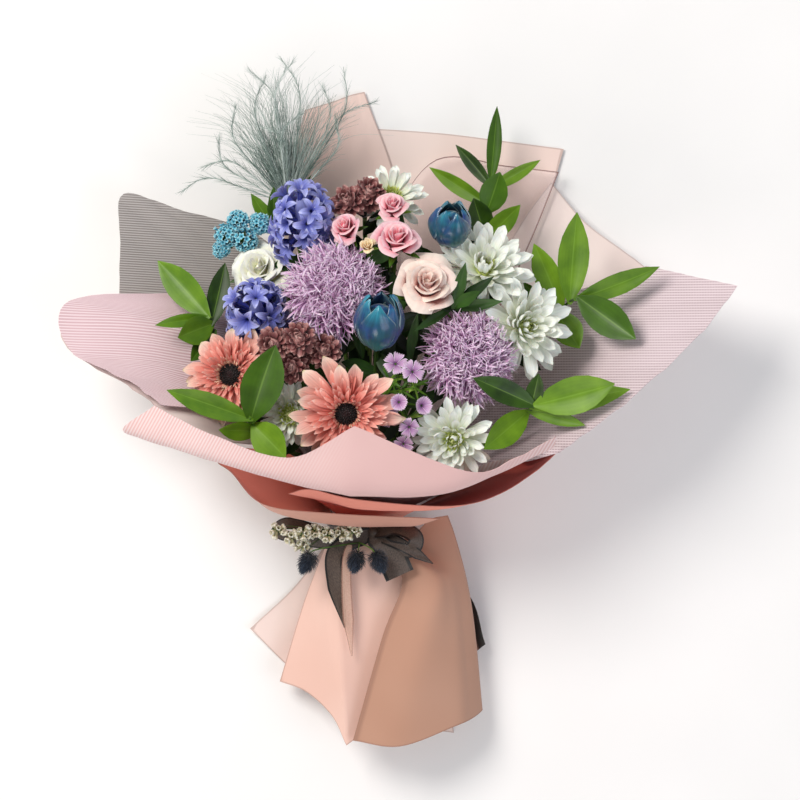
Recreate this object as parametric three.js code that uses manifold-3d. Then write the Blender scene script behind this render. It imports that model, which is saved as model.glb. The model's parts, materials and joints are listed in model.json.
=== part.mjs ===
// A mixed, hand-tied flower bouquet in its paper and mesh wrapper, lying on its back.
// Millimetres. +Z is up from the surface, +Y runs from the skirt of the wrapper to the flower heads,
// and +X is the right-hand side of somebody who looks down on the blooms.
// Every point below is measured from a plan origin near the middle of the blooms; the last lines move
// the whole bouquet so that its own origin is the middle of its footprint, on the surface.
import * as THREE from 'three';
import { mergeVertices } from 'three/addons/utils/BufferGeometryUtils.js';
import Module from 'manifold-3d';

const wasm = await Module();
wasm.setup();

// ---------------------------------------------------------------- driving dimensions
const PAPER = 0.8; // thickness of a wrapping sheet
const GROUND = 3; // the back sheet lies flat on the surface where it would come lower than this
const CLEAR = 0.4; // least space between two pieces
const SINK = 3; // how deep a petal's root sits in the core it grows from
const STEM_R = 2.2; // radius of a flower stem
const WAIST = { x: -31, y: -108, z: 34, halfWidth: 33, halfDepth: 25 }; // where the bunch is tied
const TIE_AXIS = new THREE.Vector3(0.05, 0.97, 0.22).normalize(); // the stems' direction through the tie
const BUNDLE_R = 20.2; // radius of the bound stems
const GOLDEN = Math.PI * (3 - Math.sqrt(5));
const UP = new THREE.Vector3(0, 0, 1);

const COLOURS = {
  peachPaper: [0xe9b8a4, 0.75],
  coralPaper: [0xe8806e, 0.7],
  pinkPaper: [0xe3b4b8, 0.7],
  palePaper: [0xecd6cf, 0.75],
  greyMesh: [0xa39c99, 0.6],
  film: [0xe6cfc9, 0.3],
  stem: [0x5d7a35, 0.6],
  leaf: [0x4c7a1e, 0.4],
  darkLeaf: [0x2e4a1c, 0.45],
  gerbera: [0xf0907c, 0.6],
  eye: [0x2a1412, 0.9],
  lavender: [0xb58acb, 0.65],
  hyacinth: [0x6a70cf, 0.55],
  teal: [0x3f9cc0, 0.6],
  cream: [0xf2efb4, 0.6],
  rosePink: [0xe58497, 0.55],
  blush: [0xf2cfc4, 0.55],
  peach: [0xf0b47e, 0.6],
  brown: [0x7a4238, 0.7],
  white: [0xeef0e4, 0.6],
  tulip: [0x14608c, 0.45],
  dianthus: [0xb98cc0, 0.6],
  grass: [0x8fa39a, 0.7],
  gypsophila: [0xe8e6cc, 0.7],
  bunnyTail: [0x2b3a52, 0.9],
  ribbon: [0x4b423f, 0.5],
  sheerRibbon: [0xd9b7a6, 0.5],
};

// ---------------------------------------------------------------- solids and meshes
const v3 = (x, y, z) => new THREE.Vector3(x, y, z);

function closedGeometry(points, faces) {
  const geometry = new THREE.BufferGeometry();
  const numbers = points.flatMap((point) => [point.x, point.y, point.z]);
  geometry.setAttribute('position', new THREE.Float32BufferAttribute(numbers, 3));
  geometry.setIndex(faces.flat());
  return geometry;
}

// A closed geometry as a solid; a shape that came out inside out is turned round.
function solidOf(geometry) {
  const bare = geometry.clone();
  bare.deleteAttribute('normal');
  bare.deleteAttribute('uv');
  const merged = mergeVertices(bare, 1e-4);
  const vertProperties = new Float32Array(merged.attributes.position.array);
  const triVerts = new Uint32Array(merged.index.array);
  const made = new wasm.Manifold(new wasm.Mesh({ numProp: 3, vertProperties, triVerts }));
  if (made.volume() >= 0) return made;
  return new wasm.Manifold(new wasm.Mesh({ numProp: 3, vertProperties, triVerts: triVerts.reverse() }));
}

function geometryOf(solid) {
  const mesh = solid.getMesh();
  const geometry = new THREE.BufferGeometry();
  geometry.setAttribute('position', new THREE.BufferAttribute(new Float32Array(mesh.vertProperties), 3));
  geometry.setIndex(new THREE.BufferAttribute(new Uint32Array(mesh.triVerts), 1));
  return geometry;
}

// Joins solids into one body: a hollow that the joining seals is filled, and a loose scrap is dropped.
function fuse(solids) {
  const joined = solids.reduce((sum, solid) => sum.add(solid));
  return joined.decompose().reduce((best, part) => (part.volume() > best.volume() ? part : best));
}

const bouquet = new THREE.Group();
const standing = []; // the solids placed so far, in the bouquet's frame

const boxOf = (solid) => {
  const { min, max } = solid.boundingBox();
  return new THREE.Box3(v3(...min), v3(...max));
};

// The standing solids near a box of a placed frame, carried into that frame.
function neighbours(matrix, radius) {
  const centre = v3(0, 0, 0).applyMatrix4(matrix);
  const reach = new THREE.Box3().setFromCenterAndSize(centre, v3(radius, radius, radius).multiplyScalar(2));
  const inverse = matrix.clone().invert().toArray();
  return standing
    .filter((other) => other.box.intersectsBox(reach))
    .map((other) => other.solid.transform(inverse))
    .map((solid) => ({ solid, box: boxOf(solid) }));
}

const isClear = (solid, others) => {
  const box = boxOf(solid);
  return others.every((other) => !other.box.intersectsBox(box) || solid.intersect(other.solid).isEmpty());
};

function stand(name, colour, solid, matrix = new THREE.Matrix4()) {
  const [color, roughness] = COLOURS[colour];
  const material = new THREE.MeshStandardMaterial({ color, roughness, metalness: 0 });
  const mesh = new THREE.Mesh(geometryOf(solid), material);
  mesh.name = name;
  matrix.decompose(mesh.position, mesh.quaternion, mesh.scale);
  bouquet.add(mesh);
  const placed = solid.transform(matrix.toArray());
  standing.push({ name, solid: placed, box: boxOf(placed) });
}

// ---------------------------------------------------------------- basic shapes
// Skins a row of rings into a closed shell. A ring of one point is a tip. The diagonals of opposite
// faces run alike, so that a thin, waved blade never crosses itself.
function skin(rings) {
  const points = rings.flat();
  const faces = [];
  const starts = [];
  rings.reduce((sum, ring) => (starts.push(sum), sum + ring.length), 0);
  rings.slice(1).forEach((ring, i) => {
    const before = rings[i];
    const n = Math.max(ring.length, before.length);
    for (let k = 0; k < n; k++) {
      const next = (k + 1) % n;
      const a = starts[i] + (before.length > 1 ? k : 0);
      const b = starts[i] + (before.length > 1 ? next : 0);
      const c = starts[i + 1] + (ring.length > 1 ? next : 0);
      const d = starts[i + 1] + (ring.length > 1 ? k : 0);
      if (before.length === 1) faces.push([a, c, d]);
      else if (ring.length === 1) faces.push([a, b, c]);
      else if (k % 2) faces.push([a, b, d], [b, c, d]);
      else faces.push([a, b, c], [a, c, d]);
    }
  });
  const cap = (ring, start, turned) => {
    for (let k = 1; k + 1 < ring.length; k++) {
      faces.push(turned ? [start, start + k + 1, start + k] : [start, start + k, start + k + 1]);
    }
  };
  cap(rings[0], 0, true);
  cap(rings.at(-1), starts.at(-1), false);
  return closedGeometry(points, faces);
}

// A pointed blade along +X with its upper face to +Z and a keel below. rows are [share of length,
// share of width]. curl bends it upwards by that angle, and cup lifts its edges.
// fat grows it all round, for tests.
function blade({ length, width, thick = 1.2, rows, curl = 0, cup = 0 }, fat = 0) {
  const rings = rows.map(([along, share]) => {
    const angle = curl * along;
    const arc = Math.abs(curl) < 1e-3 ? [along, 0] : [Math.sin(angle) / curl, (1 - Math.cos(angle)) / curl];
    const centre = v3(arc[0] * length - SINK, 0, arc[1] * length);
    const normal = v3(-Math.sin(angle), 0, Math.cos(angle));
    if (share === 0) return [centre.add(v3(Math.cos(angle), 0, Math.sin(angle)).multiplyScalar(fat))];
    const half = (share * width) / 2 + fat * 1.7;
    const lift = cup * half + thick * 0.3 + fat;
    const side = (y) => v3(centre.x, y, centre.z).addScaledVector(normal, lift);
    return [side(half), side(-half), centre.clone().addScaledVector(normal, -thick * 0.7 - fat)];
  });
  return skin(rings);
}

// A tube of a few sides along a row of points, with a radius for each point.
function tube(points, radii, sides = 4) {
  const rings = points.map((point, i) => {
    const ahead = points[Math.min(i + 1, points.length - 1)];
    const behind = points[Math.max(i - 1, 0)];
    const along = ahead.clone().sub(behind).normalize();
    const seed = Math.abs(along.z) > 0.9 ? v3(0, 1, 0) : UP;
    const side = seed.clone().cross(along).normalize();
    const over = along.clone().cross(side);
    const radius = Array.isArray(radii) ? radii[i] : radii;
    return Array.from({ length: sides }, (_, k) => {
      const angle = ((k + 0.5) * 2 * Math.PI) / sides;
      const offset = side.clone().multiplyScalar(Math.cos(angle)).addScaledVector(over, Math.sin(angle));
      return point.clone().addScaledVector(offset, radius);
    });
  });
  return skin(rings);
}

// A body turned about +Z from [radius, height] pairs that start and end on the axis.
const turned = (profile, sides = 8) =>
  new THREE.LatheGeometry(profile.map(([r, z]) => new THREE.Vector2(r, z)), sides).rotateX(Math.PI / 2);

// A broad, thin petal from a grid of points: full thickness inside, knife edges all round.
function lens(grid, thick) {
  const rows = grid.length;
  const cols = grid[0].length;
  const points = [];
  const upper = [];
  const lower = [];
  grid.forEach((row, i) => row.forEach((point, j) => {
    const edge = i === 0 || j === 0 || i === rows - 1 || j === cols - 1;
    const du = grid[Math.min(i + 1, rows - 1)][j].clone().sub(grid[Math.max(i - 1, 0)][j]);
    const dv = row[Math.min(j + 1, cols - 1)].clone().sub(row[Math.max(j - 1, 0)]);
    const normal = du.cross(dv).normalize().multiplyScalar(edge ? 0 : thick / 2);
    upper.push(points.push(point.clone().add(normal)) - 1);
    lower.push(edge ? upper.at(-1) : points.push(point.clone().sub(normal)) - 1);
  }));
  const faces = [];
  for (let i = 0; i + 1 < rows; i++) {
    for (let j = 0; j + 1 < cols; j++) {
      const [a, b, c, d] = [i * cols + j, i * cols + j + 1, (i + 1) * cols + j + 1, (i + 1) * cols + j];
      faces.push([upper[a], upper[b], upper[c]], [upper[a], upper[c], upper[d]]);
      faces.push([lower[a], lower[c], lower[b]], [lower[a], lower[d], lower[c]]);
    }
  }
  return closedGeometry(points, faces);
}

// A sheet of even thickness from a grid of points.
function slab(grid, thick, ground = -Infinity) {
  const rows = grid.length;
  const cols = grid[0].length;
  const points = [];
  [1, -1].forEach((side) => grid.forEach((row, i) => row.forEach((point, j) => {
    const du = grid[Math.min(i + 1, rows - 1)][j].clone().sub(grid[Math.max(i - 1, 0)][j]);
    const dv = row[Math.min(j + 1, cols - 1)].clone().sub(row[Math.max(j - 1, 0)]);
    const normal = point.z > ground ? du.cross(dv).normalize() : v3(0, 0, Math.sign(du.cross(dv).z));
    points.push(point.clone().setZ(Math.max(point.z, ground)).addScaledVector(normal, (side * thick) / 2));
  })));
  const under = rows * cols;
  const at = (i, j) => i * cols + j;
  const faces = [];
  for (let i = 0; i + 1 < rows; i++) {
    for (let j = 0; j + 1 < cols; j++) {
      const [a, b, c, d] = [at(i, j), at(i, j + 1), at(i + 1, j + 1), at(i + 1, j)];
      faces.push([a, b, c], [a, c, d]);
      faces.push([under + a, under + c, under + b], [under + a, under + d, under + c]);
    }
  }
  const rim = [];
  for (let j = 0; j < cols - 1; j++) rim.push(at(0, j));
  for (let i = 0; i < rows - 1; i++) rim.push(at(i, cols - 1));
  for (let j = cols - 1; j > 0; j--) rim.push(at(rows - 1, j));
  for (let i = rows - 1; i > 0; i--) rim.push(at(i, 0));
  rim.forEach((a, k) => {
    const b = rim[(k + 1) % rim.length];
    faces.push([a, under + a, under + b], [a, under + b, b]);
  });
  return closedGeometry(points, faces);
}

// ---------------------------------------------------------------- wrapper
// A point of the tie's oval: 0 degrees is its right, 90 its front (upper) side, 270 its back.
// Sheets that lie on each other there have layers of different size.
function waist(degrees, layer, below = 0) {
  const angle = THREE.MathUtils.degToRad(degrees);
  return v3(
    WAIST.x + WAIST.halfWidth * layer * Math.cos(angle),
    WAIST.y - below,
    WAIST.z + WAIST.halfDepth * layer * Math.sin(angle),
  );
}

const spline = (points) => new THREE.CatmullRomCurve3(points, false, 'catmullrom', 0.5);

// A sheet from its columns, each a row of points from the tie to the rim, or from hem to rim.
// steps and across are how finely it bends along and between the given points.
// A column named in corners is a fold or a cut corner, where the sheet turns sharply.
function sheet(columns, { steps = 1, across = 2, corners = [] } = {}) {
  const lines = columns.map((column) => spline(column).getPoints((column.length - 1) * steps));
  const cuts = [0, ...corners, columns.length - 1];
  return lines[0].map((_, i) => {
    const row = lines.map((line) => line[i]);
    return cuts.slice(1).flatMap((end, k) => {
      const part = row.slice(cuts[k], end + 1);
      const points = spline(part).getPoints((part.length - 1) * across);
      return k ? points.slice(1) : points;
    });
  });
}

const p = (x, y, z) => v3(x, y, z);

const WRAPPER = {
  // The big back sheet: the skirt's back, the tie, and the two upper right corners. It lies on the surface.
  back_paper: {
    colour: 'peachPaper',
    steps: 2,
    ground: GROUND,
    columns: [
      [p(-139, -212, 9), p(-95, -170, 8), waist(205, 1, 12), waist(205, 1), p(-100, 20, 12), p(-72, 246, 3)],
      [p(-95, -255, 3), p(-70, -185, 6), waist(235, 1, 12), waist(235, 1), p(-60, 25, 3), p(-40, 252, 2)],
      [p(-40, -292, 1), p(-35, -200, 4), waist(270, 1, 12), waist(270, 1), p(-10, 30, 1), p(34, 248, 1)],
      [p(10, -304, 1), p(5, -200, 5), waist(305, 1, 12), waist(305, 1), p(50, 30, 2), p(92, 241, 2)],
      [p(50, -309, 5), p(35, -190, 9), waist(332, 1, 12), waist(332, 1), p(90, 25, 9), p(152, 233, 5)],
    ],
  },
  // The tall flap at the upper left, over the back sheet.
  left_paper: {
    colour: 'peachPaper',
    steps: 2,
    columns: [
      [waist(190, 0.94), p(-128, 40, 30), p(-110, 180, 14), p(-88, 269, 9)],
      [waist(212, 0.94), p(-92, 60, 14), p(-80, 180, 9), p(-62, 277, 7)],
      [waist(238, 0.94), p(-50, 60, 7), p(-40, 185, 6), p(-46, 283, 6)],
      [waist(262, 0.94), p(-8, 60, 6), p(-1, 185, 5), p(-33, 286, 6)],
    ],
  },
  // The pale sheet on the upper right.
  right_paper: {
    colour: 'palePaper',
    columns: [
      [waist(280, 0.94), p(60, 70, 9), p(110, 160, 9), p(140, 202, 10)],
      [waist(299, 0.94), p(95, 60, 13), p(150, 130, 18), p(172, 164, 20)],
      [waist(317, 0.94), p(118, 40, 24), p(180, 90, 42), p(216, 130, 38)],
      [waist(334, 0.94), p(122, 12, 42), p(188, 52, 66), p(250, 100, 70)],
    ],
  },
  // The clear film in front of the back sheet.
  film: {
    colour: 'film',
    columns: [
      [waist(238, 0.885), p(-22, 60, 12), p(-18, 130, 12), p(-13, 166, 13)],
      [waist(259, 0.885), p(10, 60, 12), p(22, 150, 13), p(34, 223, 14)],
      [waist(280, 0.885), p(50, 70, 14), p(86, 150, 16), p(98, 217, 15)],
      [waist(300, 0.885), p(82, 66, 19), p(118, 140, 21), p(147, 211, 20)],
    ],
  },
  // The grey mesh wing at the upper left.
  mesh_left_back: {
    colour: 'greyMesh',
    steps: 2,
    across: 1,
    columns: [
      [waist(172, 0.88), p(-130, 20, 54), p(-205, 62, 72), p(-256, 92, 78)],
      [waist(190, 0.88), p(-135, 50, 42), p(-205, 110, 55), p(-256, 144, 62)],
      [waist(208, 0.88), p(-122, 80, 30), p(-190, 140, 42), p(-254, 189, 50)],
      [waist(222, 0.88), p(-98, 90, 23), p(-142, 140, 32), p(-202, 175, 38)],
      [waist(232, 0.88), p(-74, 90, 18), p(-104, 130, 26), p(-142, 160, 28)],
    ],
  },
  // The lower left wing: striped mesh over a pink lining.
  lining_left: {
    colour: 'pinkPaper',
    steps: 2,
    across: 1,
    columns: [
      [waist(140, 0.818), p(-108, -34, 84), p(-170, -16, 122), p(-216, -8, 142)],
      [waist(155, 0.818), p(-118, -14, 78), p(-192, 4, 112), p(-245, 13, 131)],
      [waist(170, 0.818), p(-124, 6, 70), p(-212, 34, 97), p(-297, 44, 116)],
      [waist(185, 0.818), p(-122, 28, 58), p(-205, 60, 86), p(-297, 70, 105)],
      [waist(198, 0.818), p(-106, 50, 46), p(-150, 72, 62), p(-196, 90, 76)],
    ],
  },
  mesh_left: {
    colour: 'greyMesh',
    steps: 2,
    across: 1,
    columns: [
      [waist(140, 0.778), p(-104, -30, 92), p(-168, -10, 132), p(-214, -4, 150)],
      [waist(155, 0.778), p(-114, -10, 86), p(-190, 10, 122), p(-243, 17, 140)],
      [waist(170, 0.778), p(-120, 10, 78), p(-210, 40, 108), p(-298, 46, 126)],
      [waist(185, 0.778), p(-118, 35, 66), p(-208, 70, 96), p(-298, 90, 114)],
      [waist(198, 0.778), p(-104, 60, 54), p(-156, 88, 72), p(-196, 98, 84)],
    ],
  },
  // The front cuff bulges below the blooms, and its middle corner stands up before them.
  front_cuff: {
    colour: 'pinkPaper',
    steps: 2,
    corners: [3],
    columns: [
      [waist(165, 0.87), p(-96, -56, 80), p(-180, -40, 118), p(-247, -29, 148), p(-219, -5, 168)],
      [waist(140, 0.87), p(-88, -72, 96), p(-140, -60, 140), p(-180, -49, 170), p(-168, -30, 186)],
      [waist(118, 0.87), p(-66, -84, 108), p(-92, -76, 158), p(-110, -68, 186), p(-98, -51, 200)],
      [waist(95, 0.87), p(-38, -89, 118), p(-43, -84, 160), p(-44, -80, 192), p(-40, -23, 222)],
      [waist(72, 0.87), p(2, -90, 114), p(20, -86, 158), p(38, -82, 184), p(59, -63, 198)],
      [waist(48, 0.87), p(42, -82, 104), p(66, -74, 146), p(86, -66, 168), p(101, -52, 184)],
      [waist(26, 0.87), p(68, -62, 90), p(104, -52, 128), p(134, -44, 152), p(140, -32, 164)],
    ],
  },
  // The right-hand mesh wing, round to the front.
  mesh_right: {
    colour: 'greyMesh',
    corners: [1],
    columns: [
      [waist(316, 0.885), p(122, 72, 48), p(180, 106, 72), p(224, 122, 84)],
      [waist(334, 0.885), p(130, 50, 62), p(220, 90, 92), p(305, 103, 112)],
      [waist(350, 0.885), p(134, 20, 76), p(205, 45, 116), p(268, 57, 130)],
      [waist(5, 0.885), p(130, -12, 88), p(175, 4, 132), p(206, 1, 156)],
      [waist(18, 0.885), p(112, -34, 92), p(146, -30, 140), p(160, -34, 160)],
    ],
  },
  // The two outer sheets flare below the cuff and show their coral side.
  collar_left: {
    colour: 'coralPaper',
    steps: 2,
    columns: [
      [waist(185, 1.068, 0.8), p(-90, -72, 58), p(-130, -60, 80), p(-166, -54, 94)],
      [waist(160, 1.068, 0.8), p(-90, -94, 68), p(-124, -92, 90), p(-152, -66, 108)],
      [waist(135, 1.068, 0.8), p(-76, -105, 76), p(-104, -105, 96), p(-124, -94, 114)],
      [waist(110, 1.068, 0.8), p(-44, -114, 80), p(-54, -113, 100), p(-64, -102, 122)],
      [waist(80, 1.068, 0.8), p(-2, -114, 80), p(14, -114, 100), p(36, -107, 120)],
    ],
  },
  collar_right: {
    colour: 'coralPaper',
    steps: 2,
    columns: [
      [waist(130, 1.006), p(-70, -95, 86), p(-86, -89, 118), p(-100, -84, 142)],
      [waist(114, 1.006), p(-54, -99, 93), p(-66, -90, 128), p(-80, -80, 150)],
      [waist(95, 1.006), p(-32, -102, 98), p(-34, -99, 130), p(-38, -89, 152)],
      [waist(65, 1.006), p(14, -103, 96), p(30, -101, 124), p(46, -95, 146)],
      [waist(42, 1.006), p(54, -96, 88), p(74, -92, 118), p(94, -82, 142)],
      [waist(20, 1.006), p(84, -74, 74), p(114, -66, 110), p(138, -50, 140)],
    ],
  },
  // The skirt below the tie.
  skirt_left: {
    colour: 'peachPaper',
    corners: [3],
    columns: [
      [p(-111, -260, 24), p(-88, -185, 30), waist(185, 0.99, 13), waist(185, 0.99, 1.2)],
      [p(-86, -269, 36), p(-76, -190, 44), waist(160, 0.99, 13), waist(160, 0.99, 1.2)],
      [p(-62, -290, 54), p(-66, -195, 56), waist(138, 0.99, 13), waist(138, 0.99, 1.2)],
      [p(-49, -316, 64), p(-56, -200, 62), waist(118, 0.99, 13), waist(118, 0.99, 1.2)],
      [p(-24, -300, 54), p(-20, -200, 56), waist(88, 0.97, 13), waist(88, 0.97, 1.2)],
      [p(10, -300, 50), p(14, -200, 52), waist(58, 0.94, 13), waist(58, 0.94, 1.2)],
    ],
  },
  skirt_right: {
    colour: 'peachPaper',
    columns: [
      [p(-43, -311, 71), p(-16, -216, 70), p(2, -163, 66), waist(70, 0.99, 13), waist(70, 0.99, 2)],
      [p(0, -316, 76), p(22, -216, 76), p(30, -163, 70), waist(52, 0.99, 14), waist(52, 0.99, 4)],
      [p(50, -299, 60), p(48, -210, 60), p(40, -160, 60), waist(30, 0.99, 24), waist(30, 0.99, 17)],
      [p(66, -293, 44), p(58, -205, 48), p(50, -160, 50), p(26, -134, 50), p(10, -126, 48)],
      [p(74, -288, 32), p(67, -210, 38), p(59, -165, 42), p(42, -122, 46), p(27, -110, 47)],
      [p(76, -286, 28), p(69, -212, 32), p(62, -168, 36), p(51, -126, 41), p(44, -106, 43)],
    ],
  },
  skirt_under: {
    colour: 'peachPaper',
    columns: [
      [p(79, -226, 20), p(60, -175, 27), waist(358, 0.652, 13), waist(358, 0.652, 1.2)],
      [p(60, -240, 14), p(40, -185, 19), waist(348, 0.652, 13), waist(348, 0.652, 1.2)],
      [p(36, -245, 11), p(30, -185, 17), waist(338, 0.652, 13), waist(338, 0.652, 1.2)],
    ],
  },
};

Object.entries(WRAPPER).forEach(([name, { colour, columns, ground, ...bends }]) => {
  stand(name, colour, solidOf(slab(sheet(columns, bends), PAPER, ground)));
});

// ---------------------------------------------------------------- placing flowers
// The placing of a bloom: its own +Z turns to the direction it faces.
function facing(place, direction, spin = 0) {
  const turn = new THREE.Quaternion().setFromUnitVectors(UP, v3(...direction).normalize());
  turn.multiply(new THREE.Quaternion().setFromAxisAngle(UP, spin));
  return new THREE.Matrix4().compose(v3(...place), turn, v3(1, 1, 1));
}

// The placing of a petal: azimuth round the bloom's axis, rise above its plane, and its root's place.
function rooted(azimuth, rise, out, height, roll = 0) {
  return new THREE.Matrix4()
    .makeRotationZ(azimuth)
    .multiply(new THREE.Matrix4().makeTranslation(out, 0, height))
    .multiply(new THREE.Matrix4().makeRotationY(-rise))
    .multiply(new THREE.Matrix4().makeRotationX(roll));
}

const stemEnds = []; // where each stem meets what it carries

// A bloom is its cores and those of its petals that find room beside what already stands.
// A petal is { shape(size, fat), matrix }: it is tried smaller and smaller before it is left out.
function bloom({ name, colour, matrix, reach, cores, petals, depth = 8, calyx = 4.5 }) {
  const others = neighbours(matrix, reach);
  const kept = petals.flatMap((petal) => {
    const place = petal.matrix.toArray();
    const probe = (size) => solidOf(petal.shape(size, CLEAR)).transform(place);
    const size = [1, 0.85, 0.7, 0.5].find((share) => isClear(probe(share), others));
    return size ? [solidOf(petal.shape(size, 0)).transform(place)] : [];
  });
  stand(name, colour, fuse([...cores.map(solidOf), ...kept]), matrix);
  if (calyx) {
    const down = v3(0, 0, -1).transformDirection(matrix);
    stemEnds.push({ point: v3(0, 0, -depth - 0.5).applyMatrix4(matrix), down, calyx });
  }
}

const TAU = 2 * Math.PI;

// One ring of petals round the axis.
const whorl = ({ count, rise, out, height, start = 0, shape }) =>
  Array.from({ length: count }, (_, i) => ({
    shape,
    matrix: rooted(((i + start) * TAU) / count, rise + 0.07 * (i % 2 ? -1 : 1), out, height),
  }));

// Florets spread evenly over a dome, each pointing out from near its middle.
function dome({ count, radius, flat, widest, shape }) {
  return Array.from({ length: count }, (_, i) => {
    const polar = Math.acos(1 - ((i + 0.5) / count) * (1 - Math.cos(widest)));
    const out = radius * Math.sin(polar);
    const height = radius * flat * Math.cos(polar);
    const matrix = rooted(i * GOLDEN, Math.PI / 2 - polar, out, height);
    return { shape: (size, fat) => shape(size, fat, polar), matrix };
  });
}

const PETAL = [[0, 0.24], [0.6, 1], [1, 0]];

const petalShape = (settings) => (size, fat) =>
  blade({ ...settings, length: settings.length * size }, fat);

// ---------------------------------------------------------------- gerberas
function gerbera(name, matrix, { outer, start }) {
  const core = turned([[0, -9], [6, -9], [13, -2], [12, 2.4], [0, 2.4]], 8);
  bloom({
    name,
    colour: 'gerbera',
    matrix,
    reach: outer + 14,
    depth: 9,
    cores: [core],
    petals: [
      ...whorl({
        count: 16, rise: 0.06, out: 11, height: -1.5, start,
        shape: petalShape({
          length: outer - 9, width: 11.5, thick: 1.4, rows: PETAL, curl: -0.15, cup: 0.15,
        }),
      }),
      ...whorl({
        count: 9, rise: 0.36, out: 10.5, height: 0, start: start + 0.5,
        shape: petalShape({
          length: outer * 0.62, width: 9, thick: 1.2, rows: PETAL, curl: -0.3, cup: 0.2,
        }),
      }),
      ...whorl({
        count: 6, rise: 0.95, out: 10, height: 1.2, start,
        shape: petalShape({ length: 12, width: 4, thick: 1.2, rows: PETAL, curl: -0.4 }),
      }),
    ],
  });
  const eye = turned([[0, 2.9], [8.6, 2.9], [8.2, 4.6], [5, 6.6], [0, 6.2]], 12);
  stand(`${name}_eye`, 'eye', solidOf(eye), matrix);
}

gerbera('gerbera_front', facing([-47.7, -11.7, 186], [0, -0.16, 1], 0.3), { outer: 54, start: 0 });
gerbera('gerbera_left', facing([-151, 22.5, 142], [-0.34, 0.05, 1], 1), { outer: 46, start: 0.3 });

// ---------------------------------------------------------------- blue tulips
// An egg of overlapping petals round a hidden middle.
function tulip(name, matrix, { length, radius }) {
  const core = turned([
    [0, -2],
    [radius * 0.6, 0],
    [radius * 0.84, length * 0.4],
    [radius * 0.5, length * 0.8],
    [0, length * 0.92],
  ], 6);
  const shell = (start, lean) => (size, fat) => lens(
    [0, 0.34, 0.72, 1].map((up) => [-1, 0, 1].map((side) => {
      const taper = up > 0.6 ? (1.02 - up) / 0.42 : 1;
      const width = Math.sin(Math.min(1, up * 1.25 + 0.22) * Math.PI * 0.5) * taper;
      const angle = start + side * 1.0 * Math.max(width, 0.03);
      const bulge = up ? Math.sin(Math.PI * Math.min(0.16 + up * 0.72, 1)) ** 0.8 : 0.38;
      const r = radius * (bulge * (1 + lean) + 0.03) + fat - 1.2 * Math.abs(side);
      return v3(r * Math.cos(angle), r * Math.sin(angle), up * length * size + fat * (up - 0.5));
    })), 2.2 + 2 * fat);
  const petals = [0, 1, 2, 3, 4, 5].map((k) => ({
    shape: shell((k * TAU) / 6, k % 2 ? 0.02 : 0.12),
    matrix: new THREE.Matrix4(),
  }));
  bloom({ name, colour: 'tulip', matrix, reach: length, cores: [core], petals, depth: 2 });
}

tulip('tulip_lower', facing([-20, 51, 168], [0.06, 0.85, 0.62], 0.4), { length: 50, radius: 20 });
tulip('tulip_upper', facing([44, 143, 132], [0.06, 0.7, 0.6], 0.9), { length: 40, radius: 17 });

// ---------------------------------------------------------------- lavender chrysanthemums
// Hundreds of narrow florets, here fewer: the tips bend in towards the top.
function pompon(name, matrix, { radius, floret, count, flat }) {
  const core = new THREE.IcosahedronGeometry(radius * 1.12, 0).scale(1, 1, flat);
  const petals = dome({
    count, radius: radius * 0.9, flat, widest: 1.95,
    shape: (size, fat, polar) => blade({
      length: (floret + 3) * size * (1 - 0.18 * Math.cos(polar)),
      width: 5, thick: 2.2,
      rows: [[0, 0.6], [0.6, 1], [1, 0]],
      curl: polar > 1.2 ? 0.35 : -0.35,
      cup: 0.2,
    }, fat),
  });
  const depth = radius * 1.12 * flat;
  bloom({ name, colour: 'lavender', matrix, reach: radius + floret + 4, cores: [core], petals, depth });
}

pompon('lavender_left', facing([-58, 97, 146], [-0.05, 0.3, 1]), {
  radius: 27, floret: 26, count: 38, flat: 0.6,
});
pompon('lavender_right', facing([61, 38, 150], [0.22, 0.05, 1]), {
  radius: 25, floret: 24, count: 35, flat: 0.62,
});

// ---------------------------------------------------------------- white chrysanthemums
function daisy(name, matrix, { outer, rings, start = 0 }) {
  const core = turned([[0, -8], [5, -8], [11, -1], [8, 5], [0, 5]], 6);
  const layers = [
    { count: 11, rise: 0.02, height: -3, length: outer - 8, width: 11.5 },
    { count: 7, rise: 0.5, height: 0, length: (outer - 8) * 0.88, width: 10.5 },
    { count: 4, rise: 1.0, height: 2.4, length: (outer - 8) * 0.62, width: 8 },
  ];
  const petals = layers.slice(0, rings).flatMap(({ count, rise, height, length, width }, k) => whorl({
    count, rise, height, out: 9 - k * 1.6, start: start + k * 0.5,
    shape: petalShape({ length, width, thick: 1.4, rows: PETAL, curl: k ? 0.25 : -0.25, cup: 0.25 }),
  }));
  bloom({ name, colour: 'white', matrix, reach: outer + 6, cores: [core], petals, depth: 8 });
}

daisy('white_mum_front', facing([48, -35, 166], [-0.14, -0.2, 1]), { outer: 36, rings: 3 });
daisy('white_mum_right', facing([112, 66, 140], [0.42, 0.05, 1]), { outer: 44, rings: 3, start: 0.4 });
daisy('white_mum_upper', facing([76, 118, 132], [0.1, 0.5, 1]), { outer: 44, rings: 3, start: 0.2 });
daisy('white_mum_left', facing([-99, -13, 140], [-0.1, 0, 1]), { outer: 29, rings: 2 });
daisy('white_mum_back', facing([-8, 186, 92], [0, 0.4, 1]), { outer: 33, rings: 1 });

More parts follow.
